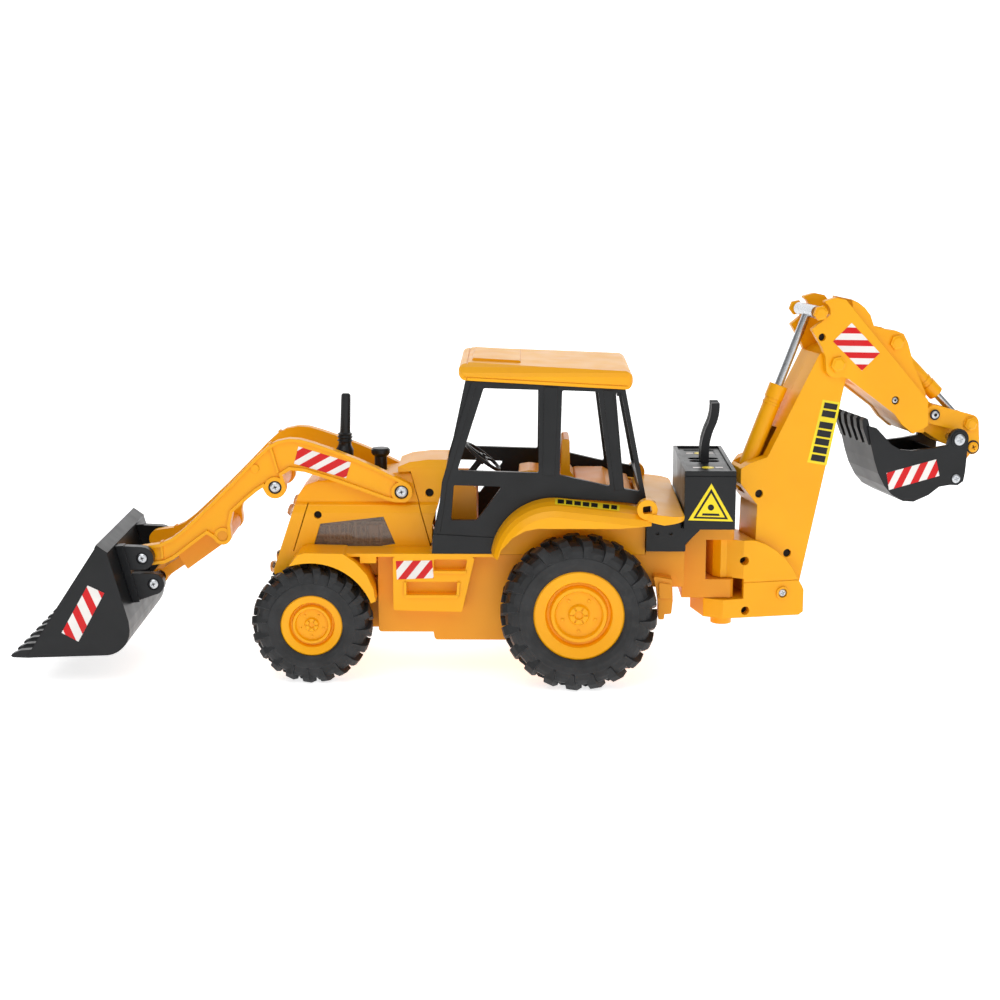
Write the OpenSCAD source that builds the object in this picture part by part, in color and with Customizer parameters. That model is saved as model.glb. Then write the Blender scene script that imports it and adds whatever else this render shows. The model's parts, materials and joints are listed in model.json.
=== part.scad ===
// Toy backhoe loader: wheels, chassis, cab, front loader and swinging backhoe.
// +X is the front, +Y the machine's left, +Z up. The origin is on the ground,
// below the middle of the rear axle. All sizes are in millimetres.

/* [Wheels] */
// Radius of a rear tyre over its lugs
rear_tyre_r = 47.5; // [46.5:0.5:48]
// Half the width of a rear tyre
rear_tyre_hw = 13.5; // [12.5:0.5:13.5]
// Radius of a rear rim
rear_rim_r = 27.5; // [25:0.5:29]
// Distance from the middle plane to the middle of a rear tyre
rear_track_y = 52.2; // [52:0.2:54]
// Radius of a front tyre over its lugs
front_tyre_r = 37; // [36:0.5:37]
// Half the width of a front tyre
front_tyre_hw = 10.8; // [10:0.2:11]
// Radius of a front rim
front_rim_r = 19; // [17:0.5:20]
// Distance from the middle plane to the middle of a front tyre
front_track_y = 40; // [40:0.5:42]
// Distance between the two axles
wheelbase = 163; // [163:0.5:165]
// Number of lugs on each shoulder of a tyre
lug_count = 20; // [16:1:22]
// Radius of both axles
axle_r = 2.5; // [2:0.1:3]

/* [Body] */
// Half the width of the chassis between the rear wheels
tub_hw = 36; // [34:0.5:36]
// Half the width of the chassis between the front wheels
nose_hw = 25; // [22:0.5:25]
// Half the width of the hood below its shoulder
hood_hw = 24; // [22:0.5:24]
// Half the width of the cab
cab_hw = 45; // [43:0.5:45]
// Height of the deck's top face
deck_z = 81.5; // [81:0.1:82]
// Thickness of the moulded shells
wall = 2.2; // [1.8:0.1:2.6]

/* [Loader] */
// Inner face of a loader arm, from the middle plane
arm_in = 20.5; // [20.5:0.1:21]
// Outer face of a loader arm, from the middle plane
arm_out = 27; // [26:0.1:27]
// Half the width of the loader bucket
bucket_hw = 55.5; // [50:0.5:58]
// Number of teeth on the loader bucket
bucket_teeth = 8; // [6:1:9]

/* [Backhoe] */
// Angle the backhoe is swung to at rest
swing_rest = 15; // [0:1:15]
// Half the width of the boom
boom_hw = 14; // [12:0.5:14]
// Outer face of a dipper side plate, from the boom's middle plane
dipper_hw = 18; // [17.5:0.1:18]
// Half the width of the backhoe bucket
hoe_hw = 22; // [21:0.5:24]
// Number of teeth on the backhoe bucket
hoe_teeth = 5; // [3:1:5]

/* [Hidden] */
$fn = 48;

// Clearances: a running fit on a pin, and the gap between parts that slide past each other
run = 0.06;
gap = 0.4;

// Axle heights, and where the gear case and the motor's axis lie
rear_axle_z = rear_tyre_r;
front_axle_z = front_tyre_r;
gear_y = -19;
motor_x = 22.3;

// Loader pivots, as [x, z] in the side view
arm_pivot = [108.5, 116];
knee_pivot = [186.2, 118.8];
tilt_pivot = [219.4, 88.2];
ear_top = [268.5, 75.3];
ear_low = [262, 59];

// Backhoe pivots, as [x, z] in the boom's own side view
swing_x = -92;
boom_foot = [-125, 49];
boom_tip = [-158, 192];
ram_foot = [-104, 120];
ram_head = [-145, 224];
ram2_foot = [-199, 204];
rocker_pivot = [-228, 157];
ram2_head = [-253.5, 150];
link_top = [-256, 135];
link_low = [-240, 117];
hoe_pivot = [-241, 142];
pin_r = 2.5;

// Colours
yellow = "#f8ae1c";
amber = "#e0942a";
charcoal = "#2d3033";
tyre_black = "#26282a";
silver = "#b9bdc1";
smoke = "#8a6a5a";
clear = "#d8d4cc";

// ---- helpers ----

// An [x, z] outline stretched across the machine, from y0 to y1
module side_slab(y0, y1) {
    translate([0, y1, 0]) rotate([90, 0, 0]) linear_extrude(y1 - y0) children();
}

// A [y, z] outline stretched along the machine, from x0 to x1
module front_slab(x0, x1) {
    translate([x0, 0, 0]) rotate([90, 0, 90]) linear_extrude(x1 - x0) children();
}

// A round bar across the machine at p = [x, z], from y0 to y1
module cross_bar(p, r, y0, y1) {
    translate([p[0], y1, p[1]]) rotate([90, 0, 0]) cylinder(r = r, h = y1 - y0);
}

module both_sides() {
    children();
    mirror([0, 1, 0]) children();
}

// Rounds the outward corners of an outline
module soft(r) {
    offset(r = r, $fn = 20) offset(delta = -r) children();
}

// Rounds the inward corners of an outline
module soft_in(r) {
    offset(r = -r, $fn = 20) offset(delta = r) children();
}

// A frame w wide along the inside of an outline
module border(w) {
    difference() {
        children();
        offset(delta = -w) children();
    }
}

// Points along an arc about c from angle a0 to a1
function arc(c, r, a0, a1, n = 12) =
    [for (i = [0:n]) c + r * [cos(a0 + (a1 - a0) * i / n), sin(a0 + (a1 - a0) * i / n)]];

// Outline of a bar with round ends of radius rp and rq
function bar_outline(p, q, rp, rq) =
    let (d = q - p, a = atan2(d[1], d[0]), t = acos((rp - rq) / norm(d)))
    concat(arc(p, rp, a + t, a + 360 - t), arc(q, rq, a - t, a + t));

// A pan-head screw with a cross recess; its head is h high, on the plane y = 0, facing +Y
module screw_head(r, h) {
    rotate([-90, 0, 0]) difference() {
        union() {
            cylinder(r = r, h = h * 0.6, $fn = 32);
            translate([0, 0, h * 0.6]) cylinder(r1 = r, r2 = r * 0.72, h = h * 0.4, $fn = 32);
        }
        for (a = [0, 90]) rotate([0, 0, a + 20])
            translate([-r * 0.5, -r * 0.12, h * 0.4]) cube([r, r * 0.24, h]);
    }
}

// Turns the backhoe about its swing pin
module swung() {
    translate([swing_x, 0, 0]) rotate([0, 0, swing_rest]) translate([-swing_x, 0, 0]) children();
}

// ---- wheels and drive ----

// One lug: a bar over the tread and down the shoulder, set at a slant
module lug(r, t, w, thick) {
    rotate([24, 0, 0]) rotate([90, 0, 0]) linear_extrude(thick, center = true)
        polygon([
            [r - 4.2 * t, 0.9 * w], [r, 0.9 * w], [r - 0.3 * t, 8.5 * w], [r - 1.4 * t, 11.4 * w],
            [r - 4.5 * t, 13.2 * w], [r - 10.8 * t, 13.5 * w], [r - 11.4 * t, 12.2 * w],
            [r - 6 * t, 10 * w]]);
}

// A tyre about the Z axis, outer face up
module tyre(r, hw, seat) {
    t = (r - seat) / 20;
    w = hw / 13.5;
    half = [
        [seat + 0.06, 11.2], [seat + 1.6 * t, 12.2], [seat + 4.5 * t, 12.9], [seat + 8.2 * t, 13],
        [seat + 9 * t, 12.5], [seat + 12.5 * t, 11.9], [seat + 15.3 * t, 10], [seat + 16.8 * t, 6],
        [seat + 17.2 * t, 0]];
    last = len(half) - 1;
    upper = [for (p = half) [p[0], p[1] * w]];
    lower = [for (i = [last - 1:-1:0]) [half[i][0], -half[i][1] * w]];
    color(tyre_black) union() {
        rotate_extrude($fn = 96) polygon(concat(upper, lower));
        for (i = [0:lug_count - 1], s = [0, 1])
            rotate([0, 0, (i + s / 2) * 360 / lug_count]) mirror([0, 0, s])
                lug(r, t, w, 0.4 * 2 * PI * r / lug_count);
    }
}

// A rim about the Z axis, outer face up, with a blind bore for the axle
module rim(seat, hw) {
    s = seat / 27.5;
    w = hw / 13.5;
    bore = axle_r + 0.05;
    color(yellow) difference() {
        union() {
            rotate_extrude($fn = 96) polygon([
                [0, 8.2 * w], [2.3 * s, 8.2 * w], [2.8 * s, 9.6 * w], [5.6 * s, 9.6 * w],
                [6.6 * s, 7.2 * w], [13.8 * s, 6.6 * w], [14.8 * s, 9.2 * w], [16.8 * s, 9.2 * w],
                [17.8 * s, 5.4 * w], [19.2 * s, 5.4 * w], [20.4 * s, 8.8 * w],
                [26.4 * s, 10.4 * w], [seat, 10 * w], [seat, -11 * w], [25.4 * s, -11 * w],
                [24.6 * s, 2.4 * w], [2 + 5 * s, 1.4 * w], [2 + 5 * s, -9 * w], [bore, -9 * w],
                [bore, 5 * w], [0, 5 * w]]);
            for (i = [0:4]) rotate([0, 0, i * 72 + 18]) translate([10.4 * s, 0, 6.5 * w])
                cylinder(r = 0.9 * s, h = 1.2 * w, $fn = 24);
        }
        for (i = [0:5]) rotate([0, 0, i * 60]) translate([3.2 * s, -0.35, 9 * w])
            cube([2.2 * s, 0.7, w]);
    }
}

// Stands a wheel part on its axle, outer face to the left
module on_axle(x, y, z) {
    translate([x, y, z]) rotate([-90, 0, 0]) children();
}

module rear_left_tyre() {
    on_axle(0, rear_track_y, rear_axle_z) tyre(rear_tyre_r, rear_tyre_hw, rear_rim_r);
}

module rear_right_tyre() {
    mirror([0, 1, 0]) rear_left_tyre();
}

module front_left_tyre() {
    on_axle(wheelbase, front_track_y, front_axle_z)
        tyre(front_tyre_r, front_tyre_hw, front_rim_r);
}

module front_right_tyre() {
    mirror([0, 1, 0]) front_left_tyre();
}

module rear_rims() {
    both_sides() on_axle(0, rear_track_y, rear_axle_z) rim(rear_rim_r, rear_tyre_hw);
}

module front_rims() {
    both_sides() on_axle(wheelbase, front_track_y, front_axle_z) rim(front_rim_r, front_tyre_hw);
}

module rear_axle() {
    end = rear_track_y + 4;
    color(silver) cross_bar([0, rear_axle_z], axle_r, -end, end);
}

module front_axle() {
    end = front_track_y + 3;
    color(silver) cross_bar([wheelbase, front_axle_z], axle_r, -end, end);
}

// Closed gear case that the rear axle runs through, beside the motor
module gear_housing() {
    axle = [0, rear_axle_z];
    motor = [motor_x, rear_axle_z];
    color("#e8e4d8") difference() {
        union() {
            side_slab(gear_y - 5, gear_y + 4.8) polygon(bar_outline(axle, motor, 16, 9));
            // flange along the seam
            side_slab(gear_y - 0.8, gear_y + 0.8) polygon(bar_outline(axle, motor, 17.2, 10.2));
        }
        cross_bar(axle, axle_r + run, -40, 40);
    }
}

// A small can motor with flats, its front boss facing the gear case
module drive_motor() {
    front = gear_y + 5;
    color(silver) difference() {
        union() {
            cross_bar([motor_x, rear_axle_z], 3, front, front + 3);
            intersection() {
                cross_bar([motor_x, rear_axle_z], 10, front + 2, front + 27);
                translate([motor_x - 12, front, rear_axle_z - 7.7]) cube([24, 40, 15.4]);
            }
            cross_bar([motor_x, rear_axle_z], 3, front + 26, front + 29);
        }
        cross_bar([motor_x, rear_axle_z], 1.1, front + 27.5, front + 30);
    }
}

// ---- chassis and body ----

tub_outline = [[-65, 59], [-65, 82], [-41, 82], [-41, 79.2], [122.8, 79.2], [122.8, 30], [89, 30],
    [88, 25], [-36, 25], [-42, 59]];
tub_nose = [[110, 30], [110, 62], [178, 62], [184, 56], [182, 30]];

module chassis_tub() {
    color(amber) difference() {
        union() {
            difference() {
                union() {
                    side_slab(-tub_hw, tub_hw) soft(2) polygon(tub_outline);
                    side_slab(-nose_hw, nose_hw) soft(2) polygon(tub_nose);
                }
                side_slab(wall - tub_hw, tub_hw - wall) polygon([
                    [-62.5, 61.5], [-62.5, 79.5], [-39, 79.5], [-39, 90], [120.3, 90], [120.3, 32.4],
                    [87, 32.4], [86, 27.4], [-34, 27.4], [-39.6, 61.5]]);
                side_slab(wall - nose_hw, nose_hw - wall) polygon([
                    [100, 32.4], [100, 90], [125, 90], [125, 62.1], [176, 62.1], [180, 50],
                    [179, 32.4]]);
            }
            // cradle for the motor
            translate([motor_x - 8, gear_y + 9, 26]) cube([16, 18, rear_axle_z - 33.7]);
            // pad behind the kingpost bracket
            translate([-62.6, -16, 61]) cube([6, 32, 19]);
        }
        for (x = [0, wheelbase])
            cross_bar([x, x == 0 ? rear_axle_z : front_axle_z], axle_r + run, -40, 40);
        // the hood's flanks drop in here
        translate([112, -hood_hw - 0.3, 62.1]) cube([16, 2 * hood_hw + 0.6, 30]);
    }
}

// Deck plate with the step panels and the front fenders
module deck_shell() {
    step_panel = [[113, 79.5], [113, 46], [71, 45], [63, 79.5]];
    fender = concat(
        [[176, 74.5], [170.5, 81.5], [166, 82.8], [143, 82.4], [135, 76.5], [128.5, 69], [124.6, 60],
            [123.4, 52.6]],
        arc([wheelbase, front_axle_z], front_tyre_r + 2.4, 158.5, 74, 16));
    color(yellow) union() {
        // top plate, open under the hood
        difference() {
            translate([48, -cab_hw, deck_z - 2]) cube([94, 2 * cab_hw, 2]);
            translate([91, -hood_hw - 0.2, deck_z - 4]) cube([60, 2 * hood_hw + 0.4, 6]);
        }
        both_sides() {
            difference() {
                side_slab(tub_hw + 0.2, cab_hw) soft(1.5) polygon(step_panel);
                // upper and lower foot pockets
                side_slab(cab_hw - 6, cab_hw + 1) soft(1)
                    polygon([[88, 78], [67.6, 78], [69, 71.2], [88, 71.2]]);
                side_slab(cab_hw - 6, cab_hw + 1) soft(1)
                    polygon([[105, 64], [73, 64], [74.5, 56], [105, 56]]);
            }
            // treads and uprights at the pockets' mouths
            side_slab(cab_hw - 2, cab_hw + 1.6)
                polygon([[88.4, 71.2], [68.2, 71.2], [68.5, 69.4], [88.4, 69.4]]);
            side_slab(cab_hw - 2, cab_hw + 1.6)
                polygon([[105.8, 56], [73.2, 56], [73.5, 54], [105.8, 54]]);
            side_slab(cab_hw - 2, cab_hw + 1.4)
                polygon([[104.8, 55], [106.4, 55], [106.4, 64], [104.8, 64]]);
            side_slab(cab_hw - 2, cab_hw + 1.4) polygon([[72.8, 55], [74.4, 55], [73.8, 64], [72, 64]]);
            // skirt under the deck's edge
            side_slab(cab_hw - 2, cab_hw - 0.4) polygon([[48, 79.6], [63.5, 79.6], [63.5, 81], [48, 81]]);
            side_slab(nose_hw + 0.2, cab_hw + 4.5) soft_in(3) polygon(fender);
            // web that ties the fender to the deck
            translate([123.2, hood_hw + 2, deck_z - 6]) cube([9.8, cab_hw - hood_hw - 2, 6]);
        }
    }
}

hood_side = [[91.4, 62.3], [91.4, 82], [103.5, 127.2], [161, 121.2], [168, 119], [173, 112.5],
    [188.6, 66], [188.6, 62.3]];
hood_front = [[-24, 62.3], [-24, 102.6], [-22.4, 107.2], [-19.6, 108.6], [-18.6, 120.5],
    [-15, 129], [15, 129], [18.6, 120.5], [19.6, 108.6], [22.4, 107.2], [24, 102.6], [24, 62.3]];
engine_window = [[159, 95.5], [120, 100], [112.8, 82.8], [148, 76.8], [164, 79.6]];

module hood_shell() {
    scale_w = hood_hw / 24;
    color(yellow) difference() {
        intersection() {
            side_slab(-40, 40) soft(3) polygon(hood_side);
            front_slab(80, 200) scale([scale_w, 1]) soft(1.6) polygon(hood_front);
        }
        // hollow
        intersection() {
            side_slab(-40, 40) offset(delta = -wall) polygon(concat(
                [[80, 40], [80, 82], [92, 127.5]], [for (i = [3:7]) hood_side[i]], [[188.6, 40]]));
            front_slab(80, 200) scale([scale_w, 1]) offset(delta = -wall) polygon(concat(
                [[-24, 40]], [for (i = [1:10]) hood_front[i]], [[24, 40]]));
        }
        side_slab(-40, 40) polygon(engine_window);
        // screw holes in the flanks
        both_sides() cross_bar([160.5, 101], 2.4, 15, 40);
        // grille louvres in the raked front
        for (i = [0:5]) translate([182.4 - 2.15 * i, -13, 72.5 + 5.2 * i]) rotate([0, 18.5, 0])
            cube([8, 26, 2]);
        // sockets of the lamps, exhaust, precleaner and arm pivot
        lamp_places(run) lamp_shape(0.15);
        translate([146, 0, 100]) cylinder(r = 4.3, h = 40);
        translate([123, 0, 100]) cylinder(r = 4.1, h = 40);
        cross_bar(arm_pivot, 3 + run, -40, 40);
        // parting groove around the nose
        side_slab(18, 40) polygon([[166.2, 108], [166.8, 108], [176.3, 78], [175.7, 78]]);
        side_slab(-40, -18) polygon([[166.2, 108], [166.8, 108], [176.3, 78], [175.7, 78]]);
    }
}

// Four lamps let into the raked front
module lamp_places(clearance) {
    for (y = [-15, 15]) {
        translate([176.6, y, 102]) rotate([0, 71.5, 0]) children();
        translate([188.4, y, 66]) rotate([0, 90, 0]) children();
    }
}

module lamp_shape(extra) {
    translate([0, 0, -4]) cylinder(r = 3.4 + extra, h = 4.4);
    if (extra == 0) translate([0, 0, 0.3]) rotate_extrude()
        polygon(concat([[0, 0], [4, 0]], arc([0, 0], 4, 5, 45, 6), [[0, 3.4]]));
}

module lamp_lenses() {
    color(clear) lamp_places(0) lamp_shape(0);
}

// Scuttle between hood and cab, with the pads that carry the loader arms
module cowl_shell() {
    section = [[-24, 80], [-24, 102.6], [-22.4, 107.2], [-19.6, 108.6], [-19.2, 130], [-17.4, 135],
        [17.4, 135], [19.2, 130], [19.6, 108.6], [22.4, 107.2], [24, 102.6], [24, 80]];
    color(yellow) difference() {
        intersection() {
            side_slab(-40, 40) polygon([[91.2, 83.6], [103.2, 127.6], [111, 127], [111, 130.4],
                [104, 133.2], [92, 134.7], [80.6, 134.7], [83, 120], [86, 108], [89.6, 97], [90.2, 83.6]]);
            front_slab(80, 120) polygon(section);
        }
        intersection() {
            side_slab(-40, 40) polygon([[70, 60], [150, 60], [150, 124], [104, 130], [70, 132]]);
            front_slab(80, 120) offset(delta = -wall) polygon(concat(
                [[-24, 60]], [for (i = [1:10]) section[i]], [[24, 60]]));
        }
        both_sides() cross_bar([91.6, 114.3], 2.6, 10, 40);
    }
}

// Engine block moulded in relief behind the flank windows
module engine_relief() {
    color(smoke) union() {
        translate([112, -19.4, 72]) cube([54, 38.8, 24]);
        both_sides() {
            for (i = [0:5]) translate([121 + 6.4 * i, 19.2, 84]) cube([4.2, 1.4, 10]);
            cross_bar([126, 91.5], 2.6, 19, 20.9);
            side_slab(19.2, 20.7) polygon([[118, 80.5], [160, 77], [161, 79.4], [118, 83.2]]);
            cross_bar([151, 81], 4, 19, 20.8);
        }
    }
}

module engine_windows() {
    color(clear) both_sides() {
        side_slab(hood_hw - wall + 0.2, hood_hw - 0.8) offset(delta = -0.15) polygon(engine_window);
        for (i = [0:6]) side_slab(hood_hw - 1, hood_hw - 0.5)
            polygon([[121 + 5.4 * i, 81.5], [121.6 + 5.4 * i, 81.5], [123.6 + 5.4 * i, 95],
                [123 + 5.4 * i, 95]]);
    }
}

// Ribbed exhaust pipe that leans a little towards the cab
module exhaust_stack() {
    tube = [[0, 0], [4, 0], [4, 6], [4.2, 11], [5.5, 13], [5.5, 17], [4.2, 19.6], [4, 20.4], [4, 22],
        [4.9, 22.6], [4.2, 23.4], [4.1, 24.2], [4.9, 24.9], [4.2, 25.7], [4.1, 26.3], [4.6, 27],
        [3.3, 27.8], [3.2, 30], [3, 48], [2.9, 51.4], [2.2, 52.3], [0, 52.5]];
    color(charcoal) translate([146, 0, 121]) rotate([0, -2, 0]) rotate_extrude() polygon(tube);
}

module air_precleaner() {
    bowl = [[0, 0], [3.9, 0], [3.9, 14.9], [5.2, 15.8], [5.9, 17], [5.9, 19], [5, 20], [0, 20.3]];
    color(charcoal) translate([123, 0, 119]) rotate_extrude() polygon(bowl);
}

// ---- cab ----

// Opening outlines in the cab's sides
front_window = [[57.5, 183], [24.2, 182], [24.6, 131.6], [73.4, 133]];
low_window = [[75.6, 124], [46.5, 123.2], [62, 102.4], [77.4, 102.4]];
rear_window = [[10.6, 181.8], [-10.8, 181], [-18.6, 123.4], [11.8, 130.4]];
quarter_window = [[-21.4, 180.8], [-24.6, 180.7], [-36.6, 120.4], [-27, 122]];
cab_outline = concat(
    [[68.5, 187.6], [-27.2, 182.2], [-40.2, 117], [-39.6, 112.4], [-20, 114.4]],
    arc([15, 78], 38.2, 92, 12, 12),
    [[53, deck_z + 0.2], [89.2, deck_z + 0.2], [88.2, 95]]);

module cab_half() {
    side_w = 3.2;
    color(charcoal) {
        difference() {
            side_slab(cab_hw - side_w, cab_hw) polygon(cab_outline);
            for (w = [front_window, low_window, rear_window, quarter_window])
                side_slab(0, 60) soft(1) polygon(w);
            // belt seam near the sill
            side_slab(cab_hw - 0.5, 60) polygon([[90, 94.4], [52, 92.2], [52, 91.6], [90, 93.8]]);
        }
        // raised pillar faces and rails
        side_slab(cab_hw - side_w - 3, cab_hw + 0.8)
            polygon([[64.8, 187.2], [61.2, 187], [79.5, 126], [84, 95], [86.4, 95],
            [82.8, 126]]);
        side_slab(cab_hw - side_w - 3, cab_hw + 0.8)
            polygon([[21.4, 184], [13.4, 183.6], [14.8, 130], [22, 130]]);
        side_slab(cab_hw - side_w - 3, cab_hw + 0.6) polygon([[-13.6, 182], [-19.6, 181.8], [-26.6, 121.6],
            [-21.4, 121]]);
        // lower front panel, and the rails over and under the rear opening
        side_slab(0.05, cab_hw - side_w) difference() {
            polygon([[89, 83.4], [88, 95], [85.2, 108], [83, 108], [85.6, 95], [86.6, 83.4]]);
        }
        side_slab(0.05, cab_hw - side_w) polygon([[67, 187.4], [63.6, 187.2], [64.8, 183], [68, 183]]);
        side_slab(0.05, cab_hw - side_w) polygon([[-22.6, 182.4], [-26.8, 182.2], [-25.9, 178],
            [-22.2, 178]]);
        side_slab(0.05, cab_hw - side_w)
            polygon([[-39.6, 117.6], [-38.4, 124], [-35.8, 124], [-36.4, 117.6]]);
    }
}

module cab_left_frame() {
    difference() {
        cab_half();
        cowl_clearance();
    }
}

module cab_right_frame() {
    mirror([0, 1, 0]) cab_left_frame();
}

// Room in the front panel for the scuttle
module cowl_clearance() {
    translate([79.8, -24.5, 60]) cube([22, 49, 76]);
}

module roof_shell() {
    color(yellow) difference() {
        union() {
            intersection() {
                side_slab(-60, 60) soft(3.5)
                    polygon([[72.6, 190.6], [70, 188], [-29.4, 182.4], [-31.6, 186],
                    [-31.4, 191], [-28, 193.4], [34, 196.2], [66, 197.8], [72.4, 196.4]]);
                front_slab(-50, 90) polygon([[-44.6, 180], [-46.6, 184], [-46.6, 190], [-45.6, 192.4],
                    [-42.6, 195.4], [-36, 198.6], [36, 198.6], [42.6, 195.4], [45.6, 192.4], [46.6, 190],
                    [46.6, 184], [44.6, 180]]);
                translate([0, 0, 170]) linear_extrude(40) soft(6)
                    polygon([[72.8, -47], [72.8, 47], [-31.8, 47],
                    [-31.8, -47]]);
            }
            // raised hatch
            translate([0, 0, -0.2]) side_slab(-28, 28) soft(1.2)
                polygon([[34, 193], [66, 194.5], [64.5, 199.4],
                [36, 197.8]]);
        }
        // hollow underneath, and a groove above the lower lip
        side_slab(-42, 42) polygon([[69.2, 180], [69.2, 192.6], [-27.8, 187.4], [-27.8, 180]]);
        both_sides() side_slab(46.1, 50) polygon([[80, 190.8], [-40, 184.4], [-40, 183.9], [80, 190.3]]);
        // seam behind the front lip
        side_slab(-60, 60) polygon([[67.2, 196.9], [67.8, 196.9], [67.8, 199], [67.2, 199]]);
        both_sides() side_slab(46.1, 50) polygon([[67.2, 184], [67.8, 184], [67.8, 199], [67.2, 199]]);
    }
}

// Floor, dash console and rear shelf in one moulding
module cab_interior() {
    inner = cab_hw - 3.6;
    color(amber) difference() {
        union() {
            translate([-34, 2.7 - tub_hw, deck_z + 0.3]) cube([116, 2 * tub_hw - 5.4, 2]);
            translate([48.2, -inner, deck_z + 0.3]) cube([33.8, 2 * inner, 2]);
            // dash console with a rounded rear edge
            side_slab(-22, 22) soft(2.5) polygon([[62.5, 80], [62.5, 117.5], [68, 122], [79.4, 122],
                [79.4, 80]]);
            // rear shelf with a step
            side_slab(-30, 30) soft(1.5) polygon([[2, 80], [2, 122], [-17, 122], [-21, 119.6], [-33, 117],
                [-33, 80]]);
        }
        translate([-60, -60, 70]) cube([180, 120, deck_z - 69.7]);
        side_slab(-19.6, 19.6) polygon([[65, 85.4], [65, 115.6], [68, 118], [77, 118], [77, 85.4]]);
        side_slab(-27.6, 27.6) polygon([[-0.4, 85.4], [-0.4, 119.6], [-16.4, 119.6], [-20.4, 117.2],
            [-30.6, 114.6], [-30.6, 85.4]]);
        // socket of the steering column
        column_place() translate([0, 0, -21]) cylinder(r = 2.05, h = 20);
    }
}

module seat() {
    color(yellow) difference() {
        union() {
            side_slab(-14, 14) soft(1.5)
                polygon([[9.8, 147], [5.2, 147], [4.8, 127], [2.4, 124], [2.4, 112], [34, 112],
                [37, 118], [36.4, 126.6], [30, 127.6], [10.6, 125]]);
            side_slab(-10, 10) polygon([[8, 84], [30, 84], [28, 114], [10, 114]]);
        }
        side_slab(-9, 9) polygon([[9.8, 127.8], [9.2, 143], [10.6, 143], [11.4, 127.8]]);
    }
}

// The steering wheel's frame: its centre, with +Z along the column towards the driver
module column_place() {
    translate([59, 0, 133.5]) rotate([0, -37.7, 0]) children();
}

module steering_column() {
    color(charcoal) column_place() union() {
        translate([0, 0, -18]) cylinder(r = 2, h = 15.4);
        translate([0, 0, -4]) cylinder(r = 3, h = 1.6);
        translate([0, 0, -3]) cylinder(r = 1.2, h = 5);
    }
}

module steering_wheel() {
    color(charcoal) column_place() union() {
        rotate_extrude($fn = 64) translate([13, 0]) circle(r = 1.1, $fn = 20);
        difference() {
            union() {
                translate([0, 0, -1.6]) cylinder(r = 3.2, h = 2.6);
                for (a = [0, 120, 240]) rotate([0, 0, a]) translate([2, -1, -0.8]) cube([11, 2, 1.4]);
            }
            translate([0, 0, -3]) cylinder(r = 1.2 + run, h = 10);
        }
    }
}

// Section of a rear fender, as [outwards from the wheel, across the machine]
fender_section = [[38.6, 45.2], [38, 54], [36.6, 60], [34.2, 63.6], [30.6, 65.6], [22, 66],
    [22, 63.8], [30, 63.2], [33, 60.8], [34.8, 56], [36, 45.2]];
arc_centre = [15, 78];
deck_slope = 6.2;

module rear_fender_shell() {
    lug_y = 58;
    lug_at = [-40, 113];
    color(yellow) difference() {
        union() {
            both_sides() difference() {
                union() {
                    // front sweep about the arc's centre
                    translate([arc_centre[0], 0, arc_centre[1]]) rotate([90, 0, 0])
                        rotate_extrude_sweep();
                    // straight run over the wheel
                    translate([arc_centre[0], 0, arc_centre[1]]) rotate([0, -deck_slope, 0])
                        translate([-54.4, 0, 0]) front_slab(0, 54.4)
                            polygon([for (p = fender_section) [p[1], p[0]]]);
                }
                // wheel opening
                side_slab(40, 80) polygon([[70, 60], [54, 84], [49, 82], [46.8, 88], [40, 96],
                    [32.6, 100.2], [25, 101.8],
                    [2, 101.8], [-24, 101.8], [-42, 103.4], [-80, 108], [-80, 60]]);
            }
            // rear deck
            translate([0, 0, 104]) intersection() {
                linear_extrude(10) soft(10)
                    polygon([[-36.5, -66], [-36.5, 66], [-62.8, 66], [-62.8, -66]]);
                side_slab(-70, 70)
                    polygon([[-36, 3], [-36, 7.4], [-62, 4.6], [-63.2, 3.4], [-62, 1.6], [-50, 0]]);
            }
            // inner arch walls and the panel that ties them
            both_sides() side_slab(tub_hw - 2.4, tub_hw) polygon([[-40.8, 80], [-40.8, 109], [-22, 111],
                [14, 113.8], [34, 108], [47.6, 94], [47.8, 84], [47.8, 79.3], [-40.8, 79.3]]);
            both_sides() side_slab(tub_hw - 1, cab_hw + 1) polygon([[-37, 108.3], [-37, 110.1],
                [14, 115.6], [14, 113.8]]);
            // tie lugs
            both_sides() cross_bar(lug_at, 6.1, lug_y, 64);
        }
        both_sides() side_slab(lug_y - 0.4, 70) translate(lug_at) rotate(-8)
            soft(1.2) square([5.4, 4.6], center = true);
    }
}

// The fender's section turned a quarter and a little more about the arc's centre
module rotate_extrude_sweep() {
    rotate([0, 0, 0]) mirror([0, 0, 1])
        rotate_extrude(angle = 90 + deck_slope, $fn = 96) polygon(fender_section);
}

// Blocks behind the rear wheels that hold the stabiliser feet
module stabiliser_blocks() {
    color(amber) both_sides() {
        side_slab(tub_hw + 0.1, 46) soft(1) polygon([[-45.4, 68], [-57, 66], [-57.6, 53], [-56.8, 44.6],
            [-52.6, 44.2], [-52.4, 41], [-48.8, 41], [-48.8, 50], [-47.8, 58]]);
        side_slab(41, 47.4) soft(1) polygon([[-48.8, 64.5], [-56, 63.4], [-56.6, 54.5], [-49.2, 54.5]]);
    }
}

// ---- control box and its bracket ----

box_front = -63.5;
box_rear = -94.4;
box_floor = 97;
box_top = 133;

module box_bracket() {
    color(charcoal) difference() {
        side_slab(-40, 40) soft(1) polygon([[-41.2, 82.2], [-41.2, 103.6], [-62, 103.6], [-62, 96.8],
            [-75, 96.8], [-65.2, 87], [-65.2, 82.2]]);
        // weight-saving hollow
        side_slab(-37, 37) polygon([[-44, 80], [-44, 100], [-60, 100], [-60, 94], [-68, 94], [-63, 87],
            [-63, 80]]);
        both_sides() for (x = [-48, -56]) cross_bar([x, 93.6], 1.1, 38.5, 50);
    }
}

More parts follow.
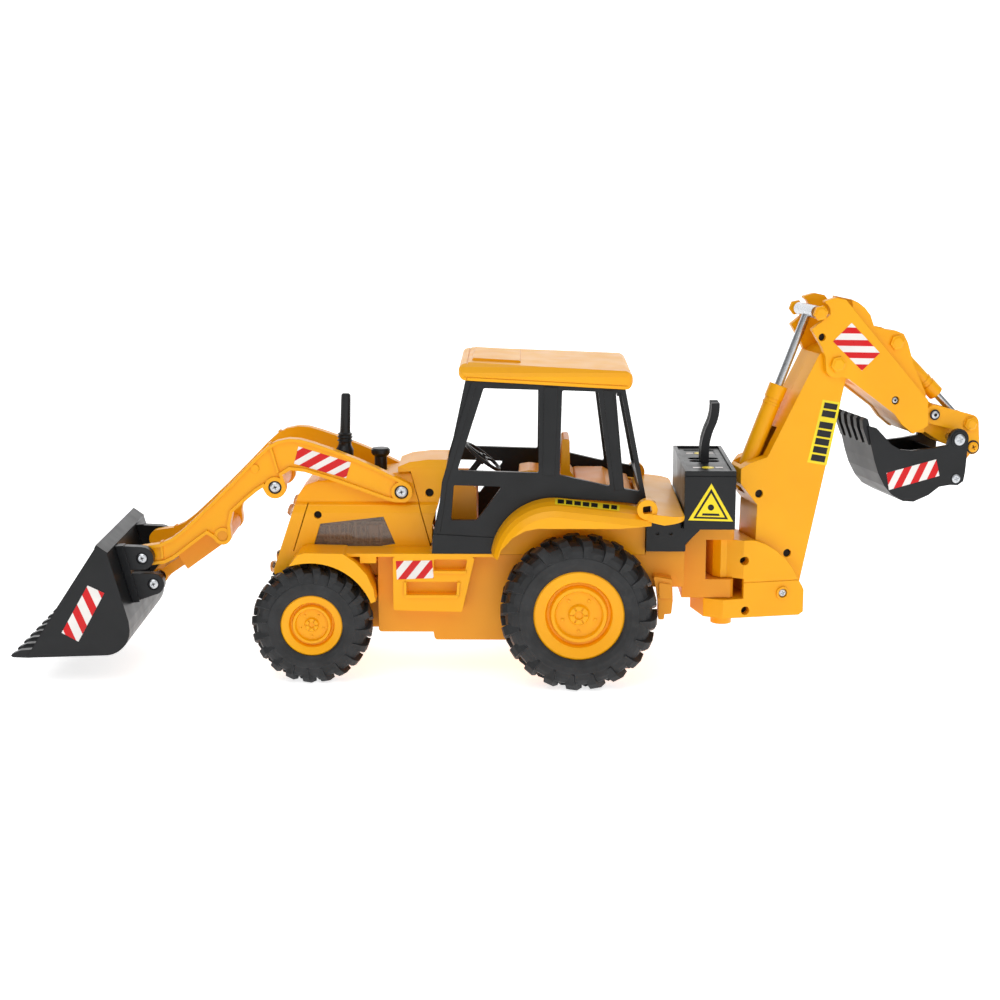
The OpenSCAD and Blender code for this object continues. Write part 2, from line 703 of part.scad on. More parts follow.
module control_box() {
    color(charcoal) difference() {
        translate([box_rear, -cab_hw, box_floor])
            cube([box_front - box_rear, 2 * cab_hw, box_top - box_floor]);
        translate([box_rear + wall, wall - cab_hw, box_floor + wall])
            cube([box_front - box_rear - 2 * wall, 2 * (cab_hw - wall), 60]);
        // shadow line below the rim
        both_sides() translate([box_rear - 1, cab_hw - 0.4, box_top - 3.4])
            cube([40, 5, 0.5]);
    }
}

// Recessed lid with the two slots for the ribbon cable
module control_box_lid() {
    inset = wall + 0.1;
    color(charcoal) difference() {
        translate([box_rear + inset, inset - cab_hw, box_top - 3.6])
            cube([box_front - box_rear - 2 * inset, 2 * (cab_hw - inset), 2.4]);
        for (y = [-4.4, 4.4]) hull() for (x = [-6, 6])
            translate([-79 + x, y, box_top - 6]) cylinder(r = 3.5, h = 8, $fn = 32);
        translate([box_rear + 6, -36, box_top - 1.6]) cube([19, 22, 1]);
    }
}

// Four flat strands that rise from the lid and bend over
module ribbon_cable() {
    path = concat([[-79, 118], [-79, 132]], arc([-119, 138], 40, 0, 24, 6),
        arc([-54, 166.4], 31, 204, 176, 6));
    color(charcoal) for (y = [-6, -2.8, 2.8, 6])
        side_slab(y - 1.5, y + 1.5) polygon(concat(
            [for (p = path) p + [-2.5, 0]], [for (i = [len(path) - 1:-1:0]) path[i] + [2.5, 0]]));
}

// ---- swing bracket and post ----

module kingpost_bracket() {
    color(amber) difference() {
        intersection() {
            translate([0, 0, 40]) linear_extrude(60)
                polygon([[-65.2, 17], [-95.6, 17], [-97.5, 15], [-97.5, -15], [-95.6, -17], [-65.2, -17]]);
            side_slab(-30, 30) polygon([[-65.2, 47.4], [-65.2, 79.4], [-66.8, 80.7], [-75.6, 90.6],
                [-77.4, 91.6], [-98, 91.6], [-98, 47.4]]);
        }
        // slot for the post's tongue
        translate([-110, -30, 59.2]) cube([110 - 80, 60, 25.2]);
        translate([swing_x, 0, 40]) cylinder(r = pin_r + 0.05, h = 70);
        // lightening recess from below
        translate([-78, -13, 45]) cube([10, 26, 11]);
    }
}

module swing_pin() {
    color(silver) translate([swing_x, 0, 0]) union() {
        translate([0, 0, 29]) cylinder(r = pin_r, h = 63.5);
        translate([0, 0, 28.6]) cylinder(r = 4.6, h = 2);
        translate([0, 0, 91.68]) cylinder(r = 4.4, h = 1.6);
    }
}

cheek_hw = 20;

module swing_post() {
    upper = [[-83, 7], [-86, 13], [-90, 13], [-98.6, cheek_hw], [-150, cheek_hw]];
    lower = [[-105.6, 17.2], [-99, 17.2], [-99, cheek_hw], [-150, cheek_hw]];
    foot = [[-75.5, 12], [-85.6, cheek_hw], [-150, cheek_hw]];
    color(yellow) swung() difference() {
        union() {
            intersection() {
                side_slab(-cheek_hw, cheek_hw) post_outline();
                union() {
                    translate([0, 0, 59.6]) linear_extrude(30) mirrored_plan(upper);
                    translate([0, 0, 46.6]) linear_extrude(13.1) mirrored_plan(lower);
                    translate([0, 0, 30]) linear_extrude(16.8) mirrored_plan(foot);
                }
            }
            // boss below the foot, and the rings about the boom's pin
            translate([swing_x, 0, 27.4]) cylinder(r = 6.6, h = 9);
            both_sides() cross_bar(boom_foot, 4.2, cheek_hw - 1, cheek_hw + 1.2);
        }
        // slot that holds the boom
        side_slab(-boom_hw - gap, boom_hw + gap) polygon([[-107.4, 90], [-107.4, 62.5], [-109.5, 59],
            [-112, 45], [-115, 30], [-150, 30], [-150, 90]]);
        translate([swing_x, 0, 20]) cylinder(r = pin_r + run, h = 80);
        translate([swing_x, 0, 20]) cylinder(r = 4.9, h = 10.8);
        cross_bar(boom_foot, pin_r + 0.05, -30, 30);
        both_sides() {
            cross_bar(boom_foot, 2.9, cheek_hw - 0.6, 30);
            cross_bar([-99.4, 71], 2.7, cheek_hw - 7, 30);
            cross_bar([-100.4, 39], 2.7, cheek_hw - 6, 30);
            // parting line along the cheek
            side_slab(cheek_hw - 0.4, 30) polygon([[-97, 57.4], [-140, 57], [-140, 56.5], [-97, 56.9]]);
        }
    }
}

// A plan outline given on one side and mirrored to the other
module mirrored_plan(half) {
    polygon(concat(half, [for (i = [len(half) - 1:-1:0]) [half[i][0], -half[i][1]]]));
}

// Side view of the post: level top, sloping shoulder, flat heel
module post_outline() {
    polygon([[-75, 84], [-103, 84], [-106, 83.6], [-113, 81], [-120, 76.6], [-126.4, 71], [-131.6, 64.6],
        [-135.6, 57], [-138.4, 52.4], [-139.4, 50], [-139.4, 36], [-136.5, 34], [-75, 35]]);
}

module boom_pin() {
    color(silver) swung() union() {
        cross_bar(boom_foot, pin_r, -19.6, 19.6);
        both_sides() translate([boom_foot[0], 19.45, boom_foot[1]]) screw_head(2.7, 1.2);
    }
}

// ---- boom ----

boom_outline = concat(
    arc(boom_foot, 11.5, 345, 195, 12),
    [[-139, 55], [-166.6, 187]],
    arc(boom_tip, 9.6, 200, 40, 10),
    [[-147.6, 198.6], [-115, 135], [-103.5, 131.5], [-97.6, 128.4], [-97.6, 119], [-109, 105],
        [-108.4, 82], [-110.8, 62]]);

module boom_half(foot_bore, chamfer) {
    skin = 2.6;
    color(yellow) difference() {
        union() {
            side_slab(boom_hw - skin, boom_hw) soft(1) polygon(boom_outline);
            side_slab(0.05, boom_hw - skin + 0.1) border(2.6) soft(1) polygon(boom_outline);
            cross_bar(boom_foot, 6, 0.05, boom_hw);
            cross_bar(boom_tip, 6, 0.05, boom_hw);
            cross_bar(ram_foot, 4.4, 6.4, boom_hw);
            // inner rib
            side_slab(0.05, boom_hw - 1) polygon([[-122, 110], [-150, 120], [-150, 122.6], [-122, 112.6]]);
        }
        cross_bar(boom_foot, pin_r + run, -1, 30);
        cross_bar(boom_tip, pin_r + run, -1, 30);
        if (foot_bore) cross_bar(ram_foot, 2.05, -1, 12);
        // mouth for the ram's barrel, and the chamfer beside the control box
        side_slab(-1, 6.3) polygon([[-95, 108.6], [-99.6, 126], [-104, 152], [-127, 152],
            [-114.5, 113.6]]);
        if (chamfer) translate([-98.6, 0, 100]) linear_extrude(40)
            polygon([[3, 3], [1, 3.4], [-8, 14.2], [3, 16]]);
        // screw recesses
        cross_bar([-110, 112], 2.6, boom_hw - 2, 30);
        cross_bar([-130, 73], 2.6, boom_hw - 2, 30);
    }
}

module boom_left() {
    swung() {
        boom_half(false, false);
        // pin that the ram's barrel turns on
        color(yellow) cross_bar(ram_foot, 2, -11, 8);
    }
}

module boom_right() {
    swung() mirror([0, 1, 0]) boom_half(true, true);
}

// The two rams share a form: a barrel on its foot pin, and a rod that slides in it
module along(p, q) {
    translate([p[0], 0, p[1]]) rotate([0, 90 - atan2(q[1] - p[1], q[0] - p[0]), 0]) children();
}

module ram_barrel(p, q, r, length, bore, eye_hw) {
    color(yellow) difference() {
        union() {
            along(p, q) {
                cylinder(r = r, h = length - 4);
                translate([0, 0, length - 9]) cylinder(r = r + 0.5, h = 9);
                translate([0, 0, length - 13]) cylinder(r = r + 0.4, h = 1.6);
            }
            cross_bar(p, r, -eye_hw, eye_hw);
        }
        along(p, q) translate([0, 0, 8]) cylinder(r = bore + run, h = length);
        cross_bar(p, 2 + run, -20, 20);
    }
}

module boom_ram_barrel() {
    swung() ram_barrel(ram_foot, ram_head, 5.4, 62, 2.7, 5.4);
}

module boom_ram_rod() {
    length = norm(ram_head - ram_foot);
    color(silver) swung() union() {
        along(ram_foot, ram_head) translate([0, 0, 32]) cylinder(r = 2.7, h = length - 32);
        cross_bar(ram_head, 3.9, -13.4, 13.4);
    }
}

// ---- dipper ----

dipper_plate = concat(
    arc(ram_head, 7, 190, 100, 6),
    [[-155.5, 233.2], [-162, 231.8], [-220.4, 167.4], [-221.4, 151], [-211, 146.2], [-203, 152.6],
        [-197.6, 159.4], [-166, 182.4]],
    arc(boom_tip, 8.6, 250, 330, 6),
    [[-149.6, 197], [-147, 203], [-140, 214]]);
dipper_core = [[-167.5, 231.5], [-172, 229.4], [-176.6, 226], [-180.4, 221.4], [-183, 214.6],
    [-191, 212.4], [-198, 211.4], [-203.4, 209.2], [-206.6, 203.6], [-211, 190], [-222, 168],
    [-228, 163.4], [-233, 161], [-240, 150], [-245, 146.4], [-246.6, 141.6], [-245, 138],
    [-241, 136.2], [-236.6, 137.8], [-224, 145.6], [-211, 147], [-203, 153.4], [-197.6, 160.2],
    [-176, 176.4]];

module dipper_half() {
    tongue_hw = 8;
    color(yellow) difference() {
        union() {
            side_slab(boom_hw + gap, dipper_hw) soft(0.8) polygon(dipper_plate);
            // core: a wall along the outline of the part behind the boom
            intersection() {
                side_slab(0.05, boom_hw + gap + 0.1) border(2.6) polygon(dipper_core);
                translate([-220.4, 0, 100]) cube([60, 40, 150]);
            }
            // cheeks that close the hump
            side_slab(11.4, boom_hw + gap + 0.1) intersection() {
                polygon(dipper_core);
                translate([-220.4, 100]) square([60, 150]);
            }
            side_slab(0.05, tongue_hw) intersection() {
                polygon(dipper_core);
                translate([-260, 100]) square([42, 100]);
            }
            cross_bar(ram2_foot, 6.4, 6.6, boom_hw - 1);
            // ear plate of the bucket ram
            side_slab(6.6, 9.4) polygon(concat([[-183.5, 214]], [[-183.5, 205], [-200, 192]],
                arc(ram2_foot, 6.4, 225, 80, 10)));
        }
        // recess of the bucket ram in the dipper's back
        side_slab(-1, 6.4) polygon([[-190, 216], [-190, 199], [-226, 160.5], [-240, 166],
            [-215, 216]]);
        cross_bar(boom_tip, pin_r + 0.05, -1, 40);
        cross_bar(ram2_foot, 2.05, -1, 40);
        cross_bar(rocker_pivot, 2.05, -1, 40);
        cross_bar(hoe_pivot, 2 + run, -1, 40);
        // screw recesses
        cross_bar([-147, 209], 2.4, dipper_hw - 3, 40);
        cross_bar([-198, 168], 2.6, dipper_hw - 1.4, 40);
    }
}

module dipper_left() {
    swung() dipper_half();
}

module dipper_right() {
    swung() mirror([0, 1, 0]) dipper_half();
}

// Six-sided cap on a pin's end, on the plane y = y0
module hex_cap(p, r, y0, h) {
    translate([p[0], y0, p[1]]) rotate([-90, 10, 0]) union() {
        cylinder(r = r, h = h, $fn = 6);
        translate([0, 0, h]) cylinder(r1 = r * 0.86, r2 = r * 0.62, h = 0.7, $fn = 6);
    }
}

// Pins and caps that stay with the dipper
module dipper_caps() {
    color(yellow) swung() union() {
        cross_bar(boom_tip, pin_r, -dipper_hw - 0.2, dipper_hw + 0.2);
        cross_bar(ram2_foot, 2, -boom_hw - gap, boom_hw + gap);
        cross_bar(rocker_pivot, 2, -13.2, 13.2);
        both_sides() {
            hex_cap(boom_tip, 5.2, dipper_hw + 0.02, 1.8);
            hex_cap(ram_head, 4.8, dipper_hw + 0.02, 1.8);
            hex_cap(ram2_foot, 5, boom_hw + gap + 0.12, 1.6);
        }
    }
}

module bucket_ram_barrel() {
    swung() ram_barrel(ram2_foot, ram2_head, 4.6, 50, 2.3, 4.6);
}

module bucket_ram_rod() {
    length = norm(ram2_head - ram2_foot);
    color(silver) swung() difference() {
        union() {
            along(ram2_foot, ram2_head) translate([0, 0, 28]) cylinder(r = 2.3, h = length - 30);
            cross_bar(ram2_head, 4.4, -3.6, 3.6);
        }
        cross_bar(ram2_head, 3.1, -10, 10);
    }
}

// ---- bucket linkage ----

rocker_in = 8.5;
rocker_out = 12.4;

module rocker_plates() {
    color(yellow) swung() {
        both_sides() difference() {
            union() {
                side_slab(rocker_in, rocker_out) soft_in(2) union() {
                    polygon(bar_outline(rocker_pivot, ram2_head, 6.2, 6));
                    polygon(bar_outline(ram2_head, link_top, 6, 4.8));
                }
                cross_bar(ram2_head, 5, rocker_in, rocker_out + 0.6);
            }
            cross_bar(rocker_pivot, 2 + run, -20, 20);
            cross_bar(link_top, 2 + run, -20, 20);
            cross_bar(ram2_head, 1.9, -20, rocker_in + 2);
        }
        // pin between the plates, through the rod's eye
        cross_bar(ram2_head, 1.85, -rocker_in - 1.9, rocker_in + 1.9);
        both_sides() hex_cap(ram2_head, 4.6, rocker_out + 0.62, 1.5);
    }
}

module drag_link() {
    hw = 7.4;
    color(yellow) swung() union() {
        difference() {
            side_slab(-hw, hw) polygon(bar_outline(link_top, link_low, 4.4, 5.4));
            cross_bar(link_low, 3.6, -20, 20);
        }
        cross_bar(link_top, 2, -rocker_out - 0.4, rocker_out + 0.4);
        both_sides() translate([link_top[0], rocker_out + 0.3, link_top[1]]) screw_head(3.4, 1.2);
    }
}

// ---- backhoe bucket ----

// Outer line of the wrapped sheet, from the lip round to the back
hoe_sheet = [[-178, 153.4], [-180.4, 142], [-183.4, 131], [-186.4, 122.6], [-191, 114.4],
    [-196.4, 108.4], [-204, 104.2], [-211.4, 103.4], [-221.6, 107.2], [-228.8, 112.2]];

module hoe_side_outline() {
    soft(0.8) polygon(concat(
        hoe_sheet,
        [[-236, 113], [-241.6, 112.6], [-245.4, 115], [-246.4, 121], [-247.2, 134]],
        arc(hoe_pivot, 6.8, 190, 20, 10),
        [[-233.4, 138.6], [-223, 137.2], [-209, 136.2], [-201, 137.2], [-194.5, 140.8],
            [-189, 146.6], [-184, 151.6]]));
}

module hoe_bucket() {
    side_w = 2.6;
    sheet_w = 2.4;
    pitch = (2 * hoe_hw - 7) / (hoe_teeth - 1);
    color(charcoal) swung() difference() {
        union() {
            both_sides() side_slab(hoe_hw - side_w, hoe_hw) hoe_side_outline();
            // wrapped sheet between the sides
            side_slab(-hoe_hw + 0.5, hoe_hw - 0.5) difference() {
                polygon(concat(hoe_sheet, [[-233, 120], [-233, 134], [-184, 152]]));
                offset(delta = -sheet_w)
                    polygon(concat(hoe_sheet, [[-233, 120], [-233, 190], [-178, 190]]));
                // the lip stands lower than the sides
                translate([-190, 148.6]) square([20, 20]);
            }
            // teeth that stand on the lip
            for (i = [0:hoe_teeth - 1])
                side_slab(-hoe_hw + 3.5 - 2.3 + i * pitch, -hoe_hw + 3.5 + 2.3 + i * pitch)
                    polygon([[-181.6, 141], [-179.6, 141], [-175.6, 151], [-174.8, 156.4],
                        [-176.2, 158.4], [-178.4, 157.4],
                        [-180.6, 150]]);
            // ear faces that carry the pins
            both_sides() cross_bar(hoe_pivot, 5.4, hoe_hw - side_w, hoe_hw + 0.5);
        }
        cross_bar(hoe_pivot, 2.05, -40, 40);
        cross_bar(link_low, 2.05, -40, 40);
    }
}

module hoe_pins() {
    color(silver) swung() {
        cross_bar(hoe_pivot, 2, -hoe_hw - 0.4, hoe_hw + 0.4);
        cross_bar(link_low, 2, -hoe_hw, hoe_hw);
        both_sides() {
            translate([hoe_pivot[0], hoe_hw + 0.55, hoe_pivot[1]]) screw_head(3.6, 1.1);
            translate([link_low[0], hoe_hw + 0.05, link_low[1]]) screw_head(2.8, 1.1);
        }
    }
}

// ---- loader ----

arm_outline = concat(
    arc(arm_pivot, 6.8, 250, 115, 8),
    [[124, 131.4], [135, 136.3], [150, 142.2], [162, 146.4], [170, 148.7], [177, 149.2], [184.6, 147.6],
        [190.4, 144.2], [197.4, 137.9], [206.3, 128.6], [213.5, 121.3], [225, 109.9], [236.3, 99.2],
        [244.4, 91.7], [251.3, 86.4], [258.8, 83]],
    arc(ear_top, 6.2, 80, -80, 8),
    [[262, 69.8], [256.3, 70.4], [250, 73.4], [244.9, 77.2], [236.9, 83.4], [229, 89.2]],
    arc(tilt_pivot, 5.6, 340, 180, 8),
    [[214.4, 95], [212.6, 103], [204, 110.8], [197, 116.6], [193.8, 118.6]],
    arc(knee_pivot, 6.9, 335, 175, 10),
    [[181.4, 126.6], [177, 129.5], [168, 128.6], [150.6, 123], [135, 117.4], [119.5, 111.7],
        [112.6, 109.6]]);

module arm_half() {
    web_out = arm_out - 1.8;
    color(yellow) difference() {
        union() {
            side_slab(arm_in, web_out) soft(0.8) polygon(arm_outline);
            side_slab(arm_in, arm_out) border(2.1) soft(0.8) polygon(arm_outline);
            cross_bar(arm_pivot, 6.4, arm_in, arm_out);
            cross_bar(knee_pivot, 6.5, arm_in, arm_out);
            cross_bar(ear_top, 5.8, arm_in, arm_out - 0.4);
            cross_bar(tilt_pivot, 5.2, arm_in, arm_out - 0.6);
            cross_bar([198.4, 130.4], 2.6, arm_in, arm_out - 0.9);
            // rib at the knee
            side_slab(arm_in, arm_out - 0.2)
                polygon([[189.8, 146], [188.4, 146.6], [183.6, 128.6], [184.8, 127.6]]);
            side_slab(arm_in, arm_out - 0.6) polygon([[258.4, 84], [257, 84.6], [256.4, 74], [258, 73.2]]);
        }
        cross_bar(arm_pivot, 3 + run, -1, 40);
        both_sides() cross_bar(arm_pivot, 4.3, arm_out - 1.6, 40);
        cross_bar(knee_pivot, 2.05, -1, 40);
        cross_bar(knee_pivot, 4.1, arm_out - 1.2, 40);
        cross_bar(ear_top, 2 + run, arm_in + 1.2, 40);
        cross_bar(tilt_pivot, 3.05, -1, 40);
    }
}

module loader_arm_left() {
    arm_half();
}

module loader_arm_right() {
    mirror([0, 1, 0]) arm_half();
}

module loader_pivot_pin() {
    color(silver) union() {
        cross_bar(arm_pivot, 3, -arm_out + 0.4, arm_out - 0.4);
        both_sides() translate([arm_pivot[0], arm_out - 1.4, arm_pivot[1]]) screw_head(3.4, 1.2);
    }
}

// Tube between the knees, with its two end screws' spigots
module arm_cross_tube() {
    color(yellow) difference() {
        cross_bar(knee_pivot, 5, -arm_in + 0.05, arm_in - 0.05);
        both_sides() cross_bar(knee_pivot, 2.05, arm_in - 12, arm_in + 1);
    }
}

module arm_screws() {
    color(silver) both_sides() {
        cross_bar(knee_pivot, 2, arm_in - 10, arm_out - 0.8);
        translate([knee_pivot[0], arm_out - 1.1, knee_pivot[1]]) screw_head(3.1, 1.2);
    }
}

// Tilt cylinder: a wide barrel hung on the arms' lower bosses
tilt_dir = (ear_low - tilt_pivot) / norm(ear_low - tilt_pivot);
tilt_len = norm(ear_low - tilt_pivot);

module tilt_barrel() {
    mouth = tilt_pivot + 33 * tilt_dir;
    color(amber) difference() {
        union() {
            side_slab(-17, 17) polygon(concat(arc(tilt_pivot, 5, 60, 230, 10),
                [mouth + [-3.3, -4.8], mouth + [3.3, 4.8]]));
            cross_bar(tilt_pivot, 4.6, -arm_in + 0.2, arm_in - 0.2);
            cross_bar(tilt_pivot, 3, -arm_out + 0.6, arm_out - 0.6);
        }
        // slot for the fork
        side_slab(-12.3, 12.3) polygon([
            tilt_pivot + 9 * tilt_dir + [1.9, 2.7], tilt_pivot + 9 * tilt_dir - [1.9, 2.7],
            mouth + 5 * tilt_dir - [1.9, 2.7], mouth + 5 * tilt_dir + [1.9, 2.7]]);
    }
}

module tilt_fork() {
    root = tilt_pivot + 23 * tilt_dir;
    side = [1.7, 2.4];
    color(amber) difference() {
        union() {
            side_slab(-12, 12) polygon([root + side, root - side, ear_low - 3 * tilt_dir - side,
                ear_low - 3 * tilt_dir + side]);
            side_slab(-12, 12) polygon(arc(ear_low, 5, 0, 345, 23));
        }
        cross_bar(ear_low, 3.7, -20, 20);
    }
}

// ---- loader bucket ----

bucket_side = concat([[291, 88.4], [285, 84.2], [273.4, 41]],
    arc([289, 35.6], 16, 170, 262, 8), [[337, 18], [316, 51]]);

module loader_bucket() {
    side_w = 2.6;
    pitch = (2 * bucket_hw - 8) / (bucket_teeth - 1);
    color(charcoal) union() {
        both_sides() side_slab(bucket_hw - side_w, bucket_hw) soft(0.6) polygon(bucket_side);
        // wrapped back and floor
        side_slab(-bucket_hw + 0.5, bucket_hw - 0.5) difference() {
            polygon(bucket_side);
            polygon(concat([[293, 90], [287.6, 82.6], [276.2, 41]],
                arc([289, 35.6], 13.2, 170, 262, 8), [[337, 20.6], [350, 24], [330, 70]]));
            // the floor's lip ends behind the teeth's tips
            translate([331.5, 10]) square([20, 20]);
        }
        // stiffening rail along the top
        side_slab(-bucket_hw, bucket_hw)
            polygon([[291.4, 88.8], [284.6, 84], [285.4, 80.6], [288.6, 82.4], [292.6, 86.4]]);
        for (i = [0:bucket_teeth - 1])
            side_slab(-bucket_hw + 4 - 2.4 + i * pitch, -bucket_hw + 4 + 2.4 + i * pitch)
                polygon([[326, 18.1], [326, 21.6], [334, 22.8], [341, 22.2], [346, 20], [346.8, 18.8],
                    [345.6, 17.8],
                    [336, 17.5]]);
    }
}

// Twin ears behind the bucket that take the arms and the tilt cylinder
module bucket_ears() {
    ear_in = arm_out + 0.6;
    ear_out = ear_in + 5.8;
    color(charcoal) difference() {
        union() {
            both_sides() side_slab(ear_in, ear_out) soft_in(0.8) polygon(concat(
                [[284.6, 83.2]], arc(ear_top, 7.2, 92, 270, 12), [[277.4, 68], [276.6, 65.6]],
                arc(ear_low, 6.7, 88, 262, 12), [[275, 47.4]]));
            // broad base along the bucket's back
            both_sides() side_slab(ear_in, ear_out + 1.2)
                polygon([[284.6, 83.2], [279.4, 83.6], [275.4, 67],
                [270.6, 48], [275, 47.4]]);
        }
        cross_bar(ear_top, 2.05, -60, 60);
        cross_bar(ear_low, 2.05, -60, 60);
        both_sides() for (p = [ear_top, ear_low]) cross_bar(p, 3.7, ear_out - 1, 60);
    }
}

module ear_pins() {
    ear_in = arm_out + 0.6;
    ear_out = ear_in + 5.8;
    color(silver) union() {
        both_sides() {
            cross_bar(ear_top, 2, arm_in + 1.4, ear_out - 0.6);
            for (p = [ear_top, ear_low])
                translate([p[0], ear_out - 0.9, p[1]]) screw_head(2.9, 1.2);
        }
        cross_bar(ear_low, 2, -ear_out + 0.5, ear_out - 0.5);
    }
}

// ---- one line for each node ----

chassis_tub();
deck_shell();
hood_shell();
cowl_shell();
engine_relief();
engine_windows();
lamp_lenses();
exhaust_stack();
air_precleaner();
cab_left_frame();
cab_right_frame();
roof_shell();
cab_interior();
seat();
steering_column();
rear_fender_shell();
stabiliser_blocks();
box_bracket();
control_box();
control_box_lid();
ribbon_cable();
kingpost_bracket();
swing_pin();
loader_pivot_pin();
drive_motor();
gear_housing();
steering_wheel();
front_axle();
front_rims();
front_left_tyre();
front_right_tyre();
rear_axle();
rear_rims();
rear_left_tyre();
rear_right_tyre();
loader_arm_left();
loader_arm_right();
arm_cross_tube();
arm_screws();
tilt_barrel();
tilt_fork();
loader_bucket();
bucket_ears();
ear_pins();
swing_post();
boom_pin();
boom_left();
boom_right();
boom_ram_barrel();
boom_ram_rod();
dipper_left();
dipper_right();
dipper_caps();
bucket_ram_barrel();
bucket_ram_rod();
rocker_plates();
drag_link();
hoe_bucket();
hoe_pins();
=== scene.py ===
"""Looks for the toy backhoe loader: materials, labels, small fittings, light and camera."""

import json
import math

import bpy
from mathutils import Matrix, Vector
from mathutils.bvhtree import BVHTree


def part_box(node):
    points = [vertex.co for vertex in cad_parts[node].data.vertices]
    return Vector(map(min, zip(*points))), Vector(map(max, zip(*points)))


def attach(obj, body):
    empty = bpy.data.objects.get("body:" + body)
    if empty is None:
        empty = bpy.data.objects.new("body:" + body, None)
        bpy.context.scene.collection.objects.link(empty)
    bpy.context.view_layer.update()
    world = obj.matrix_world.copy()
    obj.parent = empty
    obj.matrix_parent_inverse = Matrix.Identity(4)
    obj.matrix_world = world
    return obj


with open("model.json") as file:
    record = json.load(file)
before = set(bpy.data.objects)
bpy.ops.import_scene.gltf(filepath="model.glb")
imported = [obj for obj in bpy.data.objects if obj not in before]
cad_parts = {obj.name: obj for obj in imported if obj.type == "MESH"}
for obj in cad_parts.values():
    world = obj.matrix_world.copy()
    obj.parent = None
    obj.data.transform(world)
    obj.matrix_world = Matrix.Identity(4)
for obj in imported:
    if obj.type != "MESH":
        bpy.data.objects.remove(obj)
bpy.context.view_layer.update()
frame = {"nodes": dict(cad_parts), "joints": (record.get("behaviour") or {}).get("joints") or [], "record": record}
NODES = frame["nodes"]
JOINTS = {j["name"]: j for j in frame["joints"]}
SLOT_OF = {s["node"]: s["material_slot"] for s in frame["record"]["subparts"]}
MM = 0.001

# ---------------------------------------------------------------- materials


def srgb(r, g, b):
    """Linear colour from 0-255 screen values."""
    out = []
    for v in (r, g, b):
        v /= 255
        out.append(v / 12.92 if v <= 0.04045 else ((v + 0.055) / 1.055) ** 2.4)
    return (*out, 1.0)


class Mat:
    """A node material being put together: nodes are made with add() and joined with link()."""

    def __init__(self, name):
        self.mat = bpy.data.materials.new(name)
        self.mat.use_nodes = True
        self.tree = self.mat.node_tree
        self.bsdf = next(n for n in self.tree.nodes if n.type == "BSDF_PRINCIPLED")

    def add(self, kind, **values):
        node = self.tree.nodes.new("ShaderNode" + kind)
        for key, value in values.items():
            if key in node.bl_rna.properties:
                setattr(node, key, value)
            else:
                node.inputs[key.replace("_", " ")].default_value = value
        return node

    def link(self, a, b):
        self.tree.links.new(a, b)

    def set(self, **values):
        for key, value in values.items():
            self.bsdf.inputs[key.replace("_", " ")].default_value = value

    def noise(self, scale, detail=3.0, stretch=None):
        coords = self.add("TexCoord")
        tex = self.add("TexNoise", Scale=scale, Detail=detail)
        if stretch:
            mapping = self.add("Mapping")
            mapping.inputs["Scale"].default_value = stretch
            self.link(coords.outputs["Object"], mapping.inputs["Vector"])
            self.link(mapping.outputs["Vector"], tex.inputs["Vector"])
        else:
            self.link(coords.outputs["Object"], tex.inputs["Vector"])
        return tex.outputs["Fac"]

    def span(self, value, low, high, out_low=0.0, out_high=1.0):
        node = self.add("MapRange")
        for key, v in zip(("From Min", "From Max", "To Min", "To Max"), (low, high, out_low, out_high)):
            node.inputs[key].default_value = v
        self.link(value, node.inputs["Value"])
        return node.outputs["Result"]

    def mix(self, factor, a, b):
        node = self.add("Mix", data_type="RGBA")
        if isinstance(factor, float):
            node.inputs["Factor"].default_value = factor
        else:
            self.link(factor, node.inputs["Factor"])
        for socket, value in ((node.inputs[6], a), (node.inputs[7], b)):
            if isinstance(value, tuple):
                socket.default_value = value
            else:
                self.link(value, socket)
        return node.outputs[2]

    def normal(self, height, strength, distance, radius=0.0):
        """Bump on top of edges rounded by radius."""
        bump = self.add("Bump", Strength=strength, Distance=distance)
        self.link(height, bump.inputs["Height"])
        if radius:
            bevel = self.add("Bevel", samples=4, Radius=radius)
            self.link(bevel.outputs["Normal"], bump.inputs["Normal"])
        self.link(bump.outputs["Normal"], self.bsdf.inputs["Normal"])

    def edges(self, radius):
        """About 0 on flats and 1 on edges tighter than radius."""
        geo = self.add("NewGeometry")
        bevel = self.add("Bevel", samples=4, Radius=radius)
        dot = self.add("VectorMath", operation="DOT_PRODUCT")
        self.link(geo.outputs["Normal"], dot.inputs[0])
        self.link(bevel.outputs["Normal"], dot.inputs[1])
        return self.span(dot.outputs["Value"], 0.995, 0.8)


def plastic(name, colour, shade, rough, grain=0.25, edge_light=0.12, coat=0.0, spec=0.3):
    """Moulded plastic: two shades in broad patches, a fine grain, and edges rubbed a little lighter."""
    m = Mat(name)
    broad = m.span(m.noise(22.0), 0.35, 0.65)
    base = m.mix(broad, colour, shade)
    light = tuple(min(1.0, c * 1.25 + 0.02) for c in colour[:3]) + (1.0,)
    worn = m.add("Math", operation="MULTIPLY")
    m.link(m.edges(0.35 * MM), worn.inputs[0])
    m.link(m.span(m.noise(160.0, 5.0), 0.4, 0.7, 0.2 * edge_light, edge_light * 2), worn.inputs[1])
    m.link(m.mix(worn.outputs[0], base, light), m.bsdf.inputs["Base Color"])
    m.link(m.span(m.noise(70.0, 4.0), 0.3, 0.7, rough - 0.05, rough + 0.06), m.bsdf.inputs["Roughness"])
    m.normal(m.noise(1500.0, 2.0), grain, 0.04 * MM, 0.5 * MM)
    m.set(IOR=1.5, Specular_IOR_Level=spec, Coat_Weight=coat, Coat_Roughness=0.12)
    return m.mat


